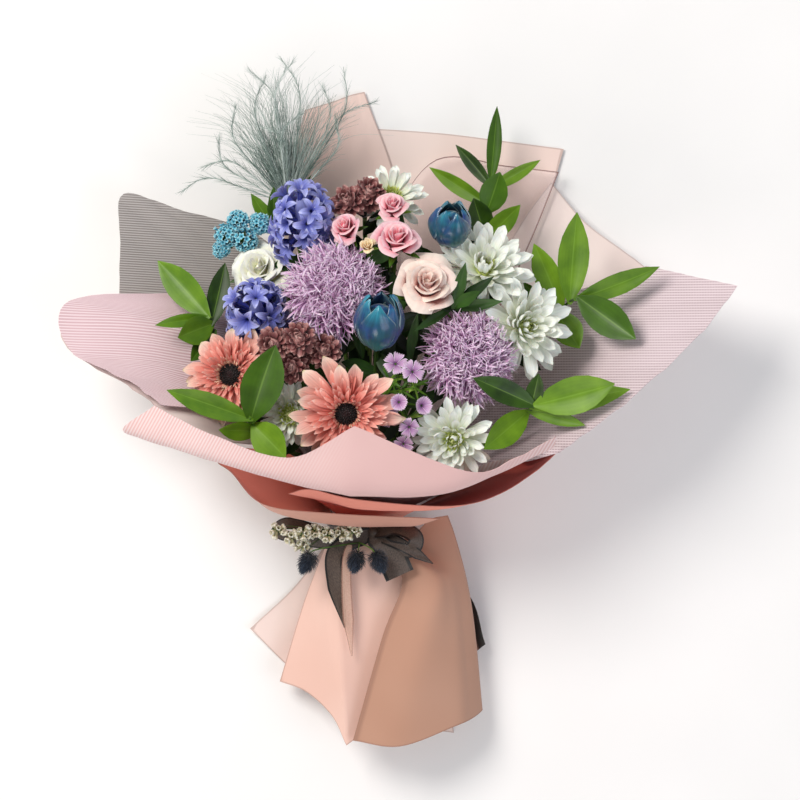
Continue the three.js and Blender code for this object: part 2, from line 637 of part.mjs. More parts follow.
// ---------------------------------------------------------------- roses
// Cupped petals wind outwards from a closed bud, and their rims roll back.
function rose(name, colour, matrix, { radius, turns, open = 1, calyx }) {
  const core = turned([
    [0, -radius * 0.55],
    [radius * 0.4, -radius * 0.5],
    [radius * 0.42, radius * 0.1],
    [radius * 0.22, radius * 0.5],
    [0, radius * 0.5],
  ], 6);
  const petals = turns.flatMap((count, layer) => Array.from({ length: count }, (_, k) => {
    const spread = (layer + 1) / turns.length;
    const start = ((k + layer * 0.45) * TAU) / count;
    const half = (Math.PI / count) * 1.32;
    const shape = (size, fat) => lens([0, 0.5, 1].map((up) => [-1, 0, 1].map((side) => {
      const round = up === 1 ? 1 - 0.3 * side * side : 1;
      const swell = radius * (0.32 + 0.68 * spread * Math.sqrt(up) * (0.5 + 0.5 * open));
      const r = swell * size + 1.1 * side + (up === 1 ? 1.6 * open : 0) + fat;
      const angle = start + side * half * (0.62 + 0.38 * up);
      const z = radius * (-0.48 + (1.08 - 0.42 * spread * open) * up * round);
      return v3(r * Math.cos(angle), r * Math.sin(angle), z + fat * (up - 0.5));
    })), 2 + 2 * fat);
    return { shape, matrix: new THREE.Matrix4() };
  }));
  bloom({ name, colour, matrix, reach: radius * 1.6, cores: [core], petals, depth: radius * 0.55, calyx });
}

rose('rose_blush', 'blush', facing([24, 105, 174], [0.1, 0.12, 1], 0.4), { radius: 29, turns: [3, 3, 4] });
rose('rose_pink_right', 'rosePink', facing([-3, 146, 162], [0, 0.3, 1], 0.2), {
  radius: 22, turns: [3, 5], open: 0.8,
});
rose('rose_pink_left', 'rosePink', facing([-50, 156, 140], [-0.3, 0.45, 1], 1), {
  radius: 17, turns: [3, 4], open: 0.7,
});
rose('rose_pink_top', 'rosePink', facing([-7, 176, 134], [0, 0.6, 1], 0.7), {
  radius: 16, turns: [3, 4], open: 0.7,
});
rose('rose_peach_bud', 'peach', facing([-29, 138, 166], [-0.1, 0.2, 1], 0.7), {
  radius: 9, turns: [3], open: 0.4, calyx: 3,
});
rose('rose_cream', 'cream', facing([-128, 120, 100], [-0.2, 0.4, 1], 0.3), {
  radius: 27, turns: [3, 3, 4],
});

// ---------------------------------------------------------------- hyacinths
// A floret is a trumpet of pointed lobes that bend back, its throat tapering into the spike.
function star({ lobes, outer, inner, back, high, throat }, fat = 0) {
  const ring = Array.from({ length: lobes * 2 }, (_, k) => {
    const r = (k % 2 ? inner : outer) + fat;
    const angle = (k * Math.PI) / lobes;
    return v3(r * Math.cos(angle), r * Math.sin(angle), k % 2 ? 0 : -back);
  });
  return skin([[v3(0, 0, high + fat)], ring, [v3(0, 0, -throat - fat)]]);
}

const starShape = (settings) => (size, fat) =>
  star({ ...settings, outer: settings.outer * size, inner: settings.inner * size }, fat);

function hyacinth(name, matrix, { length, radius, rings, floret }) {
  const core = turned([[0, 0], [radius * 0.8, 2], [radius, length * 0.5], [0, length]], 5);
  const petals = rings.flatMap((count, level) => Array.from({ length: count }, (_, k) => {
    const share = (level + 0.5) / rings.length;
    const azimuth = ((k + level * 0.5) * TAU) / count;
    const rise = -0.1 + share ** 3 * 1.9;
    const out = radius * (1 - 0.4 * share) + floret * 0.75;
    const outward = rooted(azimuth, rise, out, length * share * 0.96);
    outward.multiply(new THREE.Matrix4().makeRotationY(Math.PI / 2));
    const shape = starShape({
      lobes: 5,
      outer: floret,
      inner: floret * 0.36,
      back: floret * 0.14,
      high: 1.6,
      throat: floret * 1.1,
    });
    return { shape, matrix: outward };
  }));
  bloom({ name, colour: 'hyacinth', matrix, reach: length + floret, cores: [core], petals, depth: 0 });
}

hyacinth('hyacinth_upper', facing([-86, 138, 104], [-0.06, 0.85, 0.62]), {
  length: 64, radius: 15, rings: [5, 5, 4, 1], floret: 15,
});
hyacinth('hyacinth_lower', facing([-129, 66, 96], [0, 0.42, 0.85], 0.5), {
  length: 60, radius: 15, rings: [5, 5, 4, 1], floret: 15,
});

// ---------------------------------------------------------------- brown, scaly heads
// Several small heads of pointed bracts on one branched twig.
function cone(place, direction, { radius, bracts }) {
  const matrix = facing(place, direction);
  const core = new THREE.IcosahedronGeometry(radius * 0.9, 0);
  const petals = dome({
    count: bracts, radius: radius * 0.66, flat: 1, widest: 1.8,
    shape: (size, fat) => blade({
      length: radius * 0.8 * size + SINK, width: radius * 0.56, thick: 1.8, rows: PETAL, curl: 0.4, cup: 0.3,
    }, fat),
  });
  return { core, matrix, petals };
}

function heads(name, colour, branch, cones, twig = 1.6, calyx = 2.4) {
  const centre = v3(...branch);
  const matrix = new THREE.Matrix4().makeTranslation(centre.x, centre.y, centre.z);
  const inverse = matrix.clone().invert();
  const others = neighbours(matrix, 75);
  const cores = [new THREE.IcosahedronGeometry(3, 0)];
  const petals = [];
  cones.forEach((head) => {
    const inBranch = inverse.clone().multiply(head.matrix);
    const foot = v3(0, 0, 0.5).applyMatrix4(inBranch);
    const below = v3(0, 0, -9).applyMatrix4(inBranch).multiplyScalar(0.9);
    const twigs = (fat) => tube([v3(0, 0, 0), below, foot], twig + fat, 3);
    const body = head.core ? [head.core.clone().applyMatrix4(inBranch)] : [];
    const clear = [twigs(CLEAR), ...body].every((part) => isClear(solidOf(part), others));
    if (!clear) return;
    cores.push(twigs(0), ...body);
    head.petals.forEach((petal) => {
      petals.push({ ...petal, matrix: inBranch.clone().multiply(petal.matrix) });
    });
  });
  bloom({ name, colour, matrix, reach: 75, cores, petals, depth: 3, calyx });
}

heads('brown_heads_lower', 'brown', [-92, 42, 118], [
  cone([-112, 50, 168], [-0.2, 0.2, 1], { radius: 12, bracts: 7 }),
  cone([-90, 54, 174], [0, 0.3, 1], { radius: 12, bracts: 7 }),
  cone([-68, 43, 162], [0.1, 0.1, 1], { radius: 12, bracts: 7 }),
  cone([-96, 30, 162], [-0.1, -0.1, 1], { radius: 12, bracts: 7 }),
]);
heads('brown_heads_back', 'brown', [-32, 166, 100], [
  cone([-47, 178, 120], [-0.2, 0.5, 1], { radius: 12, bracts: 7 }),
  cone([-28, 186, 112], [0.1, 0.5, 1], { radius: 12, bracts: 7 }),
]);

// ---------------------------------------------------------------- sprays of small flowers
// Each small flower of a spray sits on its own twig from the branching point.
const floretHead = (place, direction, settings) => ({
  matrix: facing(place, direction),
  petals: [{ shape: starShape(settings), matrix: new THREE.Matrix4() }],
});

const SWEET_WILLIAM = { lobes: 5, outer: 11, inner: 5, back: 1, high: 1.5, throat: 6 };
heads('dianthus_spray', 'dianthus', [2, -2, 140], [
  floretHead([-4, 32, 182], [0, 0.4, 1], SWEET_WILLIAM),
  floretHead([11, 25, 182], [0.3, 0.2, 1], SWEET_WILLIAM),
  floretHead([-1, -2, 188], [0, 0, 1], { ...SWEET_WILLIAM, outer: 13 }),
  floretHead([-11, -14, 174], [-0.3, 0, 1], SWEET_WILLIAM),
  floretHead([8, -24, 184], [0, -0.3, 1], { ...SWEET_WILLIAM, outer: 12 }),
  floretHead([3, -39, 178], [0, -0.4, 1], SWEET_WILLIAM),
  floretHead([19, -5, 178], [0.5, 0, 1], SWEET_WILLIAM),
], 1.2);

const FORGET_ME_NOT = { lobes: 4, outer: 6, inner: 3, back: 0.8, high: 1.4, throat: 4 };
heads('teal_filler', 'teal', [-143, 146, 66], [0, 1, 2, 3, 4, 6, 7, 8, 9].map((k) => {
  const out = 5 + 19 * Math.sqrt((k + 0.5) / 10);
  const angle = k * GOLDEN;
  const place = [-146 + out * Math.cos(angle), 153 + out * Math.sin(angle), 96 - 0.35 * out];
  return floretHead(place, [0.5 * Math.cos(angle), 0.5 * Math.sin(angle), 1], FORGET_ME_NOT);
}), 1.1);

// ---------------------------------------------------------------- leafy sprays
const LEAF = [[0, 0.1], [0.36, 0.9], [0.66, 0.92], [1, 0]];
const SMALL_LEAF = [[0, 0.2], [0.5, 1], [1, 0]];

// The end of a stem that carries a branching point: it comes straight from the tie.
function below(centre, gap, calyx) {
  const down = v3(WAIST.x, WAIST.y, WAIST.z).sub(centre).normalize();
  return { point: centre.clone().addScaledVector(down, gap), down, calyx };
}

// A leaf from its base to its tip, its upper face turned up to the eye and rolled about its length.
function leafAt(base, tip, roll = 0) {
  const along = tip.clone().sub(base).normalize();
  const side = UP.clone().cross(along).normalize();
  const over = along.clone().cross(side);
  const matrix = new THREE.Matrix4().makeBasis(along, side, over).setPosition(base);
  return matrix.multiply(new THREE.Matrix4().makeRotationX(roll));
}

// A spray: leaves along a twig. A leaf is [share of the twig, tip, width, roll, curl];
// where it would touch something, it is lifted or shortened.
function spray(name, colour, twig, leaves, { rows = LEAF, radius = 1.5, thick = 1.4 } = {}) {
  const centre = v3(...twig[0]);
  const matrix = new THREE.Matrix4().makeTranslation(centre.x, centre.y, centre.z);
  const others = neighbours(matrix, 190);
  const line = new THREE.CatmullRomCurve3(twig.map((point) => v3(...point).sub(centre)));
  const stalk = (fat) => solidOf(tube(line.getPoints(3), radius + fat, 3));
  const solids = [stalk(0)];
  leaves.forEach(([share, to, width, roll = 0, curl = 0.25]) => {
    const root = line.getPoint(share);
    const end = v3(...to).sub(centre);
    const tries = [
      [0, 1], [10, 1], [-8, 1], [20, 1], [-16, 1], [0, 0.85], [14, 0.85], [30, 1], [0, 0.7], [20, 0.6],
    ];
    const made = tries.map(([lift, size]) => {
      const aim = end.clone().add(v3(0, 0, lift));
      const length = (root.distanceTo(aim) + SINK) * size;
      const place = leafAt(root, aim, roll).multiply(new THREE.Matrix4().makeRotationY(curl / 2)).toArray();
      const form = { length, width, thick, rows, curl, cup: 0.3 };
      const make = (fat) => solidOf(blade(form, fat)).transform(place);
      return { make, clear: isClear(make(CLEAR), others) };
    }).find(({ clear }) => clear);
    if (made) solids.push(made.make(0));
  });
  stand(name, colour, fuse(solids), matrix);
  const down = line.getTangent(0).negate();
  stemEnds.push({ point: centre.clone().addScaledVector(down, 0.5), down, calyx: 2.2 });
}

spray('leaves_top_right', 'leaf', [[70, 130, 64], [78, 150, 64], [80, 176, 58], [83, 200, 52]], [
  [0.98, [91, 270, 42], 14, 0.2, 0.2],
  [0.95, [53, 236, 46], 13, -0.2, 0.2],
  [0.7, [26, 212, 48], 15, -0.2, 0.2],
  [0.93, [130, 218, 48], 13, 0.3, 0.2],
  [0.62, [93, 208, 70], 26, 0.1, 0.3],
  [0.35, [66, 184, 84], 24, 0.1, 0.3],
  [0.25, [110, 178, 78], 20, 0.2, 0.3],
]);
spray('leaves_right_upper', 'leaf', [[128, 58, 88], [140, 74, 100], [152, 88, 110], [162, 92, 114]], [
  [0.7, [160, 170, 106], 29, 0.15, 0.3],
  [0.9, [236, 116, 112], 20, 0.1, 0.2],
  [0.98, [212, 54, 132], 31, 0.1, 0.3],
  [0.4, [162, 46, 136], 27, 0, 0.35],
  [0.5, [122, 142, 110], 25, -0.2, 0.25],
  [0.3, [112, 108, 112], 14, 0, 0.3],
]);
spray('leaves_right_lower', 'leaf', [[108, -22, 124], [112, -14, 138], [116, -8, 150], [122, -4, 156]], [
  [0.98, [192, 12, 172], 34, 0.1, 0.3],
  [0.6, [166, -20, 168], 14, 0.2, 0.2],
  [0.9, [65, 22, 186], 22, 0.1, 0.3],
  [0.5, [74, -44, 182], 26, -0.2, 0.3],
  [0.8, [206, 8, 156], 24, 0.3, 0.2],
  [0.75, [124, 24, 168], 16, 0, 0.3],
]);
spray('leaves_left_lower', 'leaf', [
  [-118, -38, 118], [-126, -32, 132], [-130, -24, 148], [-134, -16, 160],
], [
  [0.95, [-208, 9, 168], 22, -0.15, 0.25],
  [0.9, [-113, 50, 196], 37, 0.1, 0.3],
  [0.7, [-101, -52, 178], 30, 0.1, 0.35],
  [0.5, [-162, -27, 172], 18, -0.3, 0.2],
]);
spray('leaves_left_upper', 'leaf', [[-163, 44, 100], [-166, 54, 107], [-169, 64, 112], [-173, 76, 116]], [
  [0.98, [-219, 127, 96], 28, -0.1, 0.3],
  [0.8, [-157, 124, 104], 20, 0.1, 0.3],
  [0.95, [-221, 70, 126], 12, 0, 0.2],
  [0.8, [-200, 56, 138], 26, -0.2, 0.3],
  [0.6, [-188, 34, 142], 18, -0.2, 0.3],
]);
spray('leaves_middle', 'darkLeaf', [[38, 70, 124], [43, 78, 144], [48, 84, 162]], [
  [0.98, [60, 122, 176], 12, 0, 0.3],
  [0.9, [84, 110, 172], 12, 0.1, 0.3],
  [0.8, [92, 88, 166], 12, 0.2, 0.3],
  [0.95, [72, 96, 182], 12, 0, 0.3],
  [0.9, [34, 84, 184], 10, 0, 0.3],
  [0.85, [12, 62, 182], 9, 0, 0.3],
], { rows: SMALL_LEAF, radius: 1.2 });
spray('leaves_hyacinth', 'leaf', [[-112, 132, 66], [-114, 146, 72], [-114, 158, 78]], [
  [0.9, [-136, 188, 80], 15, 0, 0.3],
  [0.95, [-80, 204, 108], 10, 0, 0.2],
  [0.98, [-116, 194, 84], 13, 0, 0.2],
], { rows: SMALL_LEAF });

// Feather grass: long, thin wisps that arch apart.
function plume(name, node, wisps) {
  const centre = v3(...node);
  const matrix = new THREE.Matrix4().makeTranslation(centre.x, centre.y, centre.z);
  const others = neighbours(matrix, 200);
  const solids = [solidOf(new THREE.IcosahedronGeometry(5, 0))];
  wisps.forEach(([x, y, z, sway]) => {
    const tip = v3(x, y, z).sub(centre);
    const side = tip.clone().cross(UP).normalize();
    const bend = (share, swing, lift) =>
      tip.clone().multiplyScalar(share).addScaledVector(side, swing * sway).add(v3(0, 0, lift));
    const line = [v3(0, 0, 0), bend(0.4, 10, 8), bend(0.75, 16, 9), tip];
    const make = (fat) => solidOf(tube(line, [1.5 + fat, 1.1 + fat, 0.8 + fat, 0.4 + fat], 3));
    if (isClear(make(CLEAR), others)) solids.push(make(0));
  });
  stand(name, 'grass', fuse(solids), matrix);
  stemEnds.push(below(centre, 5.5, 2.4));
}

plume('feather_grass', [-102, 178, 70], [
  [-140, 304, 64, 1], [-122, 298, 60, -1], [-110, 315, 60, 1], [-96, 313, 70, -1], [-52, 306, 50, 1],
  [-20, 274, 58, -1], [-166, 243, 66, -1], [-182, 212, 70, 1], [-202, 189, 74, 1], [-150, 270, 70, -1],
  [-72, 292, 44, 1], [-128, 250, 78, 1], [-88, 262, 80, -1], [-60, 260, 74, 1],
]);

// ---------------------------------------------------------------- ribbon
// The dark ribbon goes round the tie, with a knot in front, a loop and its tails.
function strip(line, width, steps = 5) {
  const curve = spline(line.map(([x, y, z]) => v3(x, y, z)));
  const across = v3(0, 0, 1);
  return (tilt) => slab(Array.from({ length: steps + 1 }, (_, i) => {
    const point = curve.getPoint(i / steps);
    const along = curve.getTangent(i / steps);
    const side = along.clone().cross(across).normalize();
    const over = side.clone().cross(along);
    const turn = side.multiplyScalar(Math.cos(tilt)).addScaledVector(over, Math.sin(tilt));
    return [-0.5, 0.5].map((share) => point.clone().addScaledVector(turn, share * width));
  }), 1);
}

function ribbon() {
  const band = [[1.06, 0], [1.06, 7], [1.13, 7], [1.13, 0], [1.06, 0]];
  const hoop = new THREE.LatheGeometry(band.map(([layer, y]) => new THREE.Vector2(layer, y)), 18);
  hoop.scale(WAIST.halfWidth, 1, WAIST.halfDepth).translate(WAIST.x, WAIST.y - 14, WAIST.z);
  const knot = new THREE.IcosahedronGeometry(6, 0).translate(-24, -121, 66.5);
  const parts = [
    hoop,
    knot,
    strip([[-22, -121, 69], [4, -124, 80], [16, -130, 85], [4, -138, 84], [-20, -125, 70]], 15)(0.9),
    strip([[-26, -122, 68], [-46, -130, 71], [-60, -142, 71], [-58, -172, 69], [-50, -212, 69]], 16)(0),
    strip([[-24, -121, 69], [-12, -134, 77], [0, -160, 79]], 24, 4)(0),
    strip([[-22, -121, 69], [2, -132, 86], [30, -149, 82]], 8, 4)(0),
  ];
  stand('ribbon', 'ribbon', fuse(parts.map(solidOf)));
  const sheer = [[-47, -132, 72.8], [-51, -150, 72.4], [-50, -190, 71.2], [-45, -234, 70]];
  stand('sheer_tail', 'sheerRibbon', solidOf(strip(sheer, 5, 4)(0)));
}
ribbon();

// ---------------------------------------------------------------- dried posy at the tie
const GYPSOPHILA = { lobes: 4, outer: 6, inner: 4, back: 1.5, high: 3, throat: 6 };
heads('gypsophila', 'gypsophila', [-62, -118.6, 62], [
  [-112, -117.5, 74], [-99, -123.5, 80], [-88, -119.5, 84], [-77, -118.5, 80], [-67, -121.5, 86],
  [-54, -120.5, 80], [-43, -118.5, 86], [-88, -132.5, 76],
].map(([x, y, z]) => floretHead([x, y, z], [(x + 60) / 90, -0.2, 1], GYPSOPHILA)), 1.1, 0);

// Hare's-tail grass: soft, oval heads on short stalks.
const hareTail = (place, direction) => ({
  matrix: facing(place, direction),
  core: new THREE.IcosahedronGeometry(5, 0).scale(1, 1, 1.7),
  petals: dome({
    count: 6, radius: 4, flat: 1.6, widest: 2.2,
    shape: (size, fat) => blade({
      length: 6 * size + SINK, width: 2.4, thick: 1.2, rows: PETAL, curl: 0.2,
    }, fat),
  }),
});
heads('hare_tails', 'bunnyTail', [-37, -130, 73.8], [
  hareTail([-84, -147, 86], [-0.5, -0.9, 0.3]),
  hareTail([-40, -146, 86], [-0.2, -0.9, 0.5]),
  hareTail([-20, -146, 95], [0.4, -0.8, 0.4]),
], 1.1, 0);

// ---------------------------------------------------------------- the stems
// Every stem runs from below what it carries to its own place in the tied bundle.
function stems() {
  const tie = v3(WAIST.x, WAIST.y, WAIST.z);
  const around = neighbours(new THREE.Matrix4(), 420);
  const start = facing(tie.clone().addScaledVector(TIE_AXIS, -24).toArray(), TIE_AXIS.toArray());
  const bundle = turned([[0, 0], [BUNDLE_R - 3, 0], [BUNDLE_R, 24], [BUNDLE_R + 2, 62], [0, 62]], 10);
  const solids = [solidOf(bundle.applyMatrix4(start))];
  const lifts = [0, -12, 12, -24, 24];
  const ways = [0, 12, -12, 24, -24, 36, -36].flatMap((aside) => lifts.map((lift) => v3(aside, 0, lift)));
  ways.sort((a, b) => a.length() - b.length());
  stemEnds.forEach(({ point, down, calyx }) => {
    const away = point.clone().sub(tie);
    const length = away.length();
    const aside = away.clone().addScaledVector(TIE_AXIS, -away.dot(TIE_AXIS)).multiplyScalar(16 / length);
    const foot = tie.clone().add(aside).addScaledVector(TIE_AXIS, 30);
    const neck = point.clone().addScaledVector(down, 5);
    const path = (shift) => {
      const curve = new THREE.CubicBezierCurve3(
        neck,
        point.clone().addScaledVector(down, 0.16 * length).addScaledVector(shift, 0.6),
        foot.clone().addScaledVector(away, 0.35).add(shift),
        foot,
      );
      return [point, ...[0, 0.4, 1].map((share) => curve.getPoint(share))];
    };
    const radii = [calyx, Math.min(calyx, STEM_R), STEM_R, STEM_R];
    const found = ways.find((shift) => {
      const line = path(shift);
      const fat = solidOf(tube(line.slice(1), STEM_R + CLEAR, 3));
      return isClear(fat, around) && isClear(solidOf(tube(line.slice(0, 3), radii.slice(0, 3), 3)), around);
    });
    if (found) solids.push(solidOf(tube(path(found), radii, 3)));
  });
  [[-10, 6, 96], [8, 8, 118], [0, -6, 132], [12, -4, 104], [-14, -4, 112]].forEach(([x, z, long]) => {
    const near = tie.clone().add(v3(x * 0.8, -10, z * 0.8 - 2));
    solids.push(solidOf(tube([near, tie.clone().add(v3(x * 1.7, -10 - long, z * 1.2 - 4))], STEM_R)));
  });
  stand('stems', 'stem', fuse(solids));
}
stems();

// The bouquet's origin is the middle of its footprint, on the surface it lies on.
const box = new THREE.Box3().setFromObject(bouquet);
const middle = box.getCenter(v3(0, 0, 0));
bouquet.children.forEach((mesh) => mesh.position.sub(v3(middle.x, middle.y, box.min.z)));

export default bouquet;
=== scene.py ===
# A mixed flower bouquet that lies on its back in its paper and net wrapper.
# Every shape is worked out in plan millimetres, as the construction is, and then moved into the frame.
import json
import math
import bmesh
import bpy
import numpy as np
from mathutils import Matrix, Vector

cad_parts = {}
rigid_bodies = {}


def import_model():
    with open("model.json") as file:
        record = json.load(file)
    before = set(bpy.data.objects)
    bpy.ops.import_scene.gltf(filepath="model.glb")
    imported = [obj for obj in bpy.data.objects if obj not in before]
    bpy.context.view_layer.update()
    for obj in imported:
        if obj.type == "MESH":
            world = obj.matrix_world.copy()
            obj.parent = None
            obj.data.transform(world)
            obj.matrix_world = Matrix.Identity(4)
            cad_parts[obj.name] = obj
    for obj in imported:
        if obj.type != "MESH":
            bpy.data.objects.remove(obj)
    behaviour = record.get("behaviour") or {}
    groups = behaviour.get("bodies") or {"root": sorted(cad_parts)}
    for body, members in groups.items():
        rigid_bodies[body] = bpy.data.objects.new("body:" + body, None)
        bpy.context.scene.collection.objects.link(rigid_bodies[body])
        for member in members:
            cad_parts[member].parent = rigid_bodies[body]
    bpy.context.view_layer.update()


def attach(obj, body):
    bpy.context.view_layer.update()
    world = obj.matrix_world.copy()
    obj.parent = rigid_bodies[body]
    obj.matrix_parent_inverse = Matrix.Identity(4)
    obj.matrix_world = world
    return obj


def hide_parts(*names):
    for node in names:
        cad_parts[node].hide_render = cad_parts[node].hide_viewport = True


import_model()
scene = bpy.context.scene
mm = 0.001
planShift = Vector((-3.508, 0.411, -2.6))  # from the plan's origin to the frame's, in mm
toFrame = Matrix.Scale(mm, 4) @ Matrix.Translation(planShift)
golden = math.pi * (3 - math.sqrt(5))
turn = 2 * math.pi
chance = np.random.default_rng(11)
tie = {"x": -31, "y": -108, "z": 34, "halfWidth": 33, "halfDepth": 25, "axis": Vector((0.05, 0.97, 0.22))}
tieMiddle = Vector((tie["x"], tie["y"], tie["z"]))


# Small helpers.
def linear(code):
    channels = [int(code[i:i + 2], 16) / 255 for i in (1, 3, 5)]
    return [c / 12.92 if c <= 0.04045 else ((c + 0.055) / 1.055) ** 2.4 for c in channels] + [1.0]


# Adds a node, sets its sockets by name or number, links the values that are sockets, and gives back
# the output that is asked for.
def addNode(tree, kind, inputs=None, out=0, **settings):
    node = tree.nodes.new(kind)
    for key, value in settings.items():
        setattr(node, key, value)
    for name, value in (inputs or {}).items():
        if isinstance(value, bpy.types.NodeSocket):
            tree.links.new(value, node.inputs[name])
        else:
            node.inputs[name].default_value = value
    return node.outputs[out]


def calc(tree, operation, *values):
    return addNode(tree, "ShaderNodeMath", dict(enumerate(values)), operation=operation)


# A value carried from one range, low and high, to another.
def remap(tree, value, *ends):
    return addNode(tree, "ShaderNodeMapRange", dict(enumerate((value, *ends))))


def noise(tree, where, scale, detail):
    return addNode(tree, "ShaderNodeTexNoise", {"Vector": where, "Scale": scale, "Detail": detail})


def readValue(tree, name):
    return addNode(tree, "ShaderNodeAttribute", out=2, attribute_name=name)


def blend(tree, share, ground, code):
    return addNode(tree, "ShaderNodeMix", {0: share, 6: ground, 7: linear(code)}, out=2, data_type="RGBA")


# Gives a shader its colour and its fine relief.
def dress(tree, shader, colour, strength, distance, height):
    bump = addNode(tree, "ShaderNodeBump", {"Strength": strength, "Distance": distance, "Height": height})
    tree.links.new(colour, shader.inputs["Base Color"])
    tree.links.new(bump, shader.inputs["Normal"])


# What petals and leaves share: place across and along the blade, distance from its middle, its own tone.
def bladeValues(tree):
    place = addNode(tree, "ShaderNodeUVMap", uv_map="petalUv")
    split = addNode(tree, "ShaderNodeSeparateXYZ", {0: place}).node
    across, along = split.outputs[0], split.outputs[1]
    return across, along, calc(tree, "ABSOLUTE", calc(tree, "SUBTRACT", across, 0.5)), readValue(tree, "tone")


def colourRamp(tree, value, stops):
    socket = addNode(tree, "ShaderNodeValToRGB", {0: value})
    elements = socket.node.color_ramp.elements
    while len(elements) < len(stops):
        elements.new(0.5)
    for element, (place, code) in zip(elements, stops):
        element.position = place
        element.color = linear(code)
    return socket


def newMaterial(name, settings):
    material = bpy.data.materials.new(name)
    material.use_nodes = True
    shader = material.node_tree.nodes["Principled BSDF"]
    for key, value in settings.items():
        shader.inputs[key].default_value = value
    return material, material.node_tree, shader


# Materials.
# Petals: damp, soft tissue. The colour runs from the root to the tip, fine veins run lengthwise,
# and each petal differs a little from the next.
def petalFinish(name, look):
    material, tree, shader = newMaterial(name, {
        "Roughness": look.get("rough", 0.55), "Specular IOR Level": look.get("gloss", 0.35),
        "Sheen Weight": 0.15, "Sheen Roughness": 0.5,
        "Subsurface Weight": look.get("soft", 0.12), "Subsurface Scale": 0.004,
        "Subsurface Radius": (1.0, 0.55, 0.4),
    })
    across, along, offset, tone = bladeValues(tree)
    ramp = colourRamp(tree, along, look["stops"])
    if "edge" in look:
        width, code = look["edge"]
        rim = remap(tree, offset, 0.5 - width, 0.5, 0.0, 1.0)
        ramp = blend(tree, rim, ramp, code)
    if "patch" in look:
        where = addNode(tree, "ShaderNodeTexCoord", out=3)
        stain = noise(tree, where, look["patch"][1], 2.0)
        share = remap(tree, stain, 0.42, 0.62, 0.0, 0.9)
        ramp = blend(tree, share, ramp, look["patch"][0])
    lengthwise = calc(tree, "MULTIPLY", across, look.get("lines", 7.0))
    deep = calc(tree, "MULTIPLY", tone, 17.0)
    grain = addNode(tree, "ShaderNodeCombineXYZ", {0: lengthwise, 1: along, 2: deep})
    veins = noise(tree, grain, 1.6, 3.0)
    stripe = remap(tree, veins, 0.3, 0.7, 1 - look.get("veins", 0.2), 1.06)
    rib = remap(tree, offset, 0.0, 0.13, 1 - look.get("rib", 0.0), 1.0)
    spread = look.get("spread", 0.14)
    value = remap(tree, tone, 0.0, 1.0, 1 - spread, 1 + spread)
    value = calc(tree, "MULTIPLY", value, rib)
    bright = calc(tree, "MULTIPLY", stripe, value)
    shift = look.get("hue", 0.008)
    hue = remap(tree, tone, 0.0, 1.0, 0.5 - shift, 0.5 + shift)
    colour = addNode(tree, "ShaderNodeHueSaturation", {"Hue": hue, "Value": bright, "Color": ramp})
    dress(tree, shader, colour, look.get("bump", 0.4), 0.0005, veins)
    return material


# Leaves: a waxy skin over parallel veins that follow the outline, with a pale midrib.
def leafFinish(name, look):
    material, tree, shader = newMaterial(name, {
        "Roughness": look["rough"], "Specular IOR Level": 0.35,
        "Coat Weight": 0.04, "Coat Roughness": 0.3,
    })
    across, _, offset, tone = bladeValues(tree)
    where = addNode(tree, "ShaderNodeTexCoord", out=3)
    mottle = noise(tree, where, 55.0, 3.0)
    mixed = calc(tree, "MULTIPLY_ADD", tone, 0.75, -0.12)
    depth = calc(tree, "MULTIPLY_ADD", mottle, 0.5, mixed)
    body = colourRamp(tree, depth, look["stops"])
    rib = remap(tree, offset, 0.035, 0.0, 0.0, 0.38)
    veined = calc(tree, "MULTIPLY", across, turn * 9)
    lines = calc(tree, "SINE", veined)
    shade = remap(tree, lines, -1.0, 1.0, 0.97, 1.02)
    leaf = addNode(tree, "ShaderNodeHueSaturation", {"Value": shade, "Color": body})
    colour = blend(tree, rib, leaf, look["vein"])
    height = calc(tree, "MULTIPLY_ADD", lines, 0.05, mottle)
    dress(tree, shader, colour, 0.2, 0.0005, height)
    return material


# Wrapping paper: matt, coated stock. Soft clouds of shade and a fine tooth keep it from looking flat.
def paperFinish(name, stops):
    material, tree, shader = newMaterial(name, {
        "Roughness": 0.62, "Specular IOR Level": 0.3, "Sheen Weight": 0.1,
    })
    where = addNode(tree, "ShaderNodeTexCoord", out=3)
    clouds = noise(tree, where, 7.0, 2.0)
    tooth = noise(tree, where, 900.0, 3.0)  # 1 mm fibres
    body = colourRamp(tree, clouds, stops)
    inside = readValue(tree, "show")  # mm from the nearest edge
    # Painted shade: a thin dark line along every edge of the sheet.
    line = remap(tree, inside, 0.7, 1.5, 0.35, 0.0)
    colour = blend(tree, line, body, "#6E4A42")
    soft = noise(tree, where, 26.0, 1.0)
    height = calc(tree, "MULTIPLY_ADD", tooth, 0.06, soft)
    dress(tree, shader, colour, 0.35, 0.0016, height)
    return material


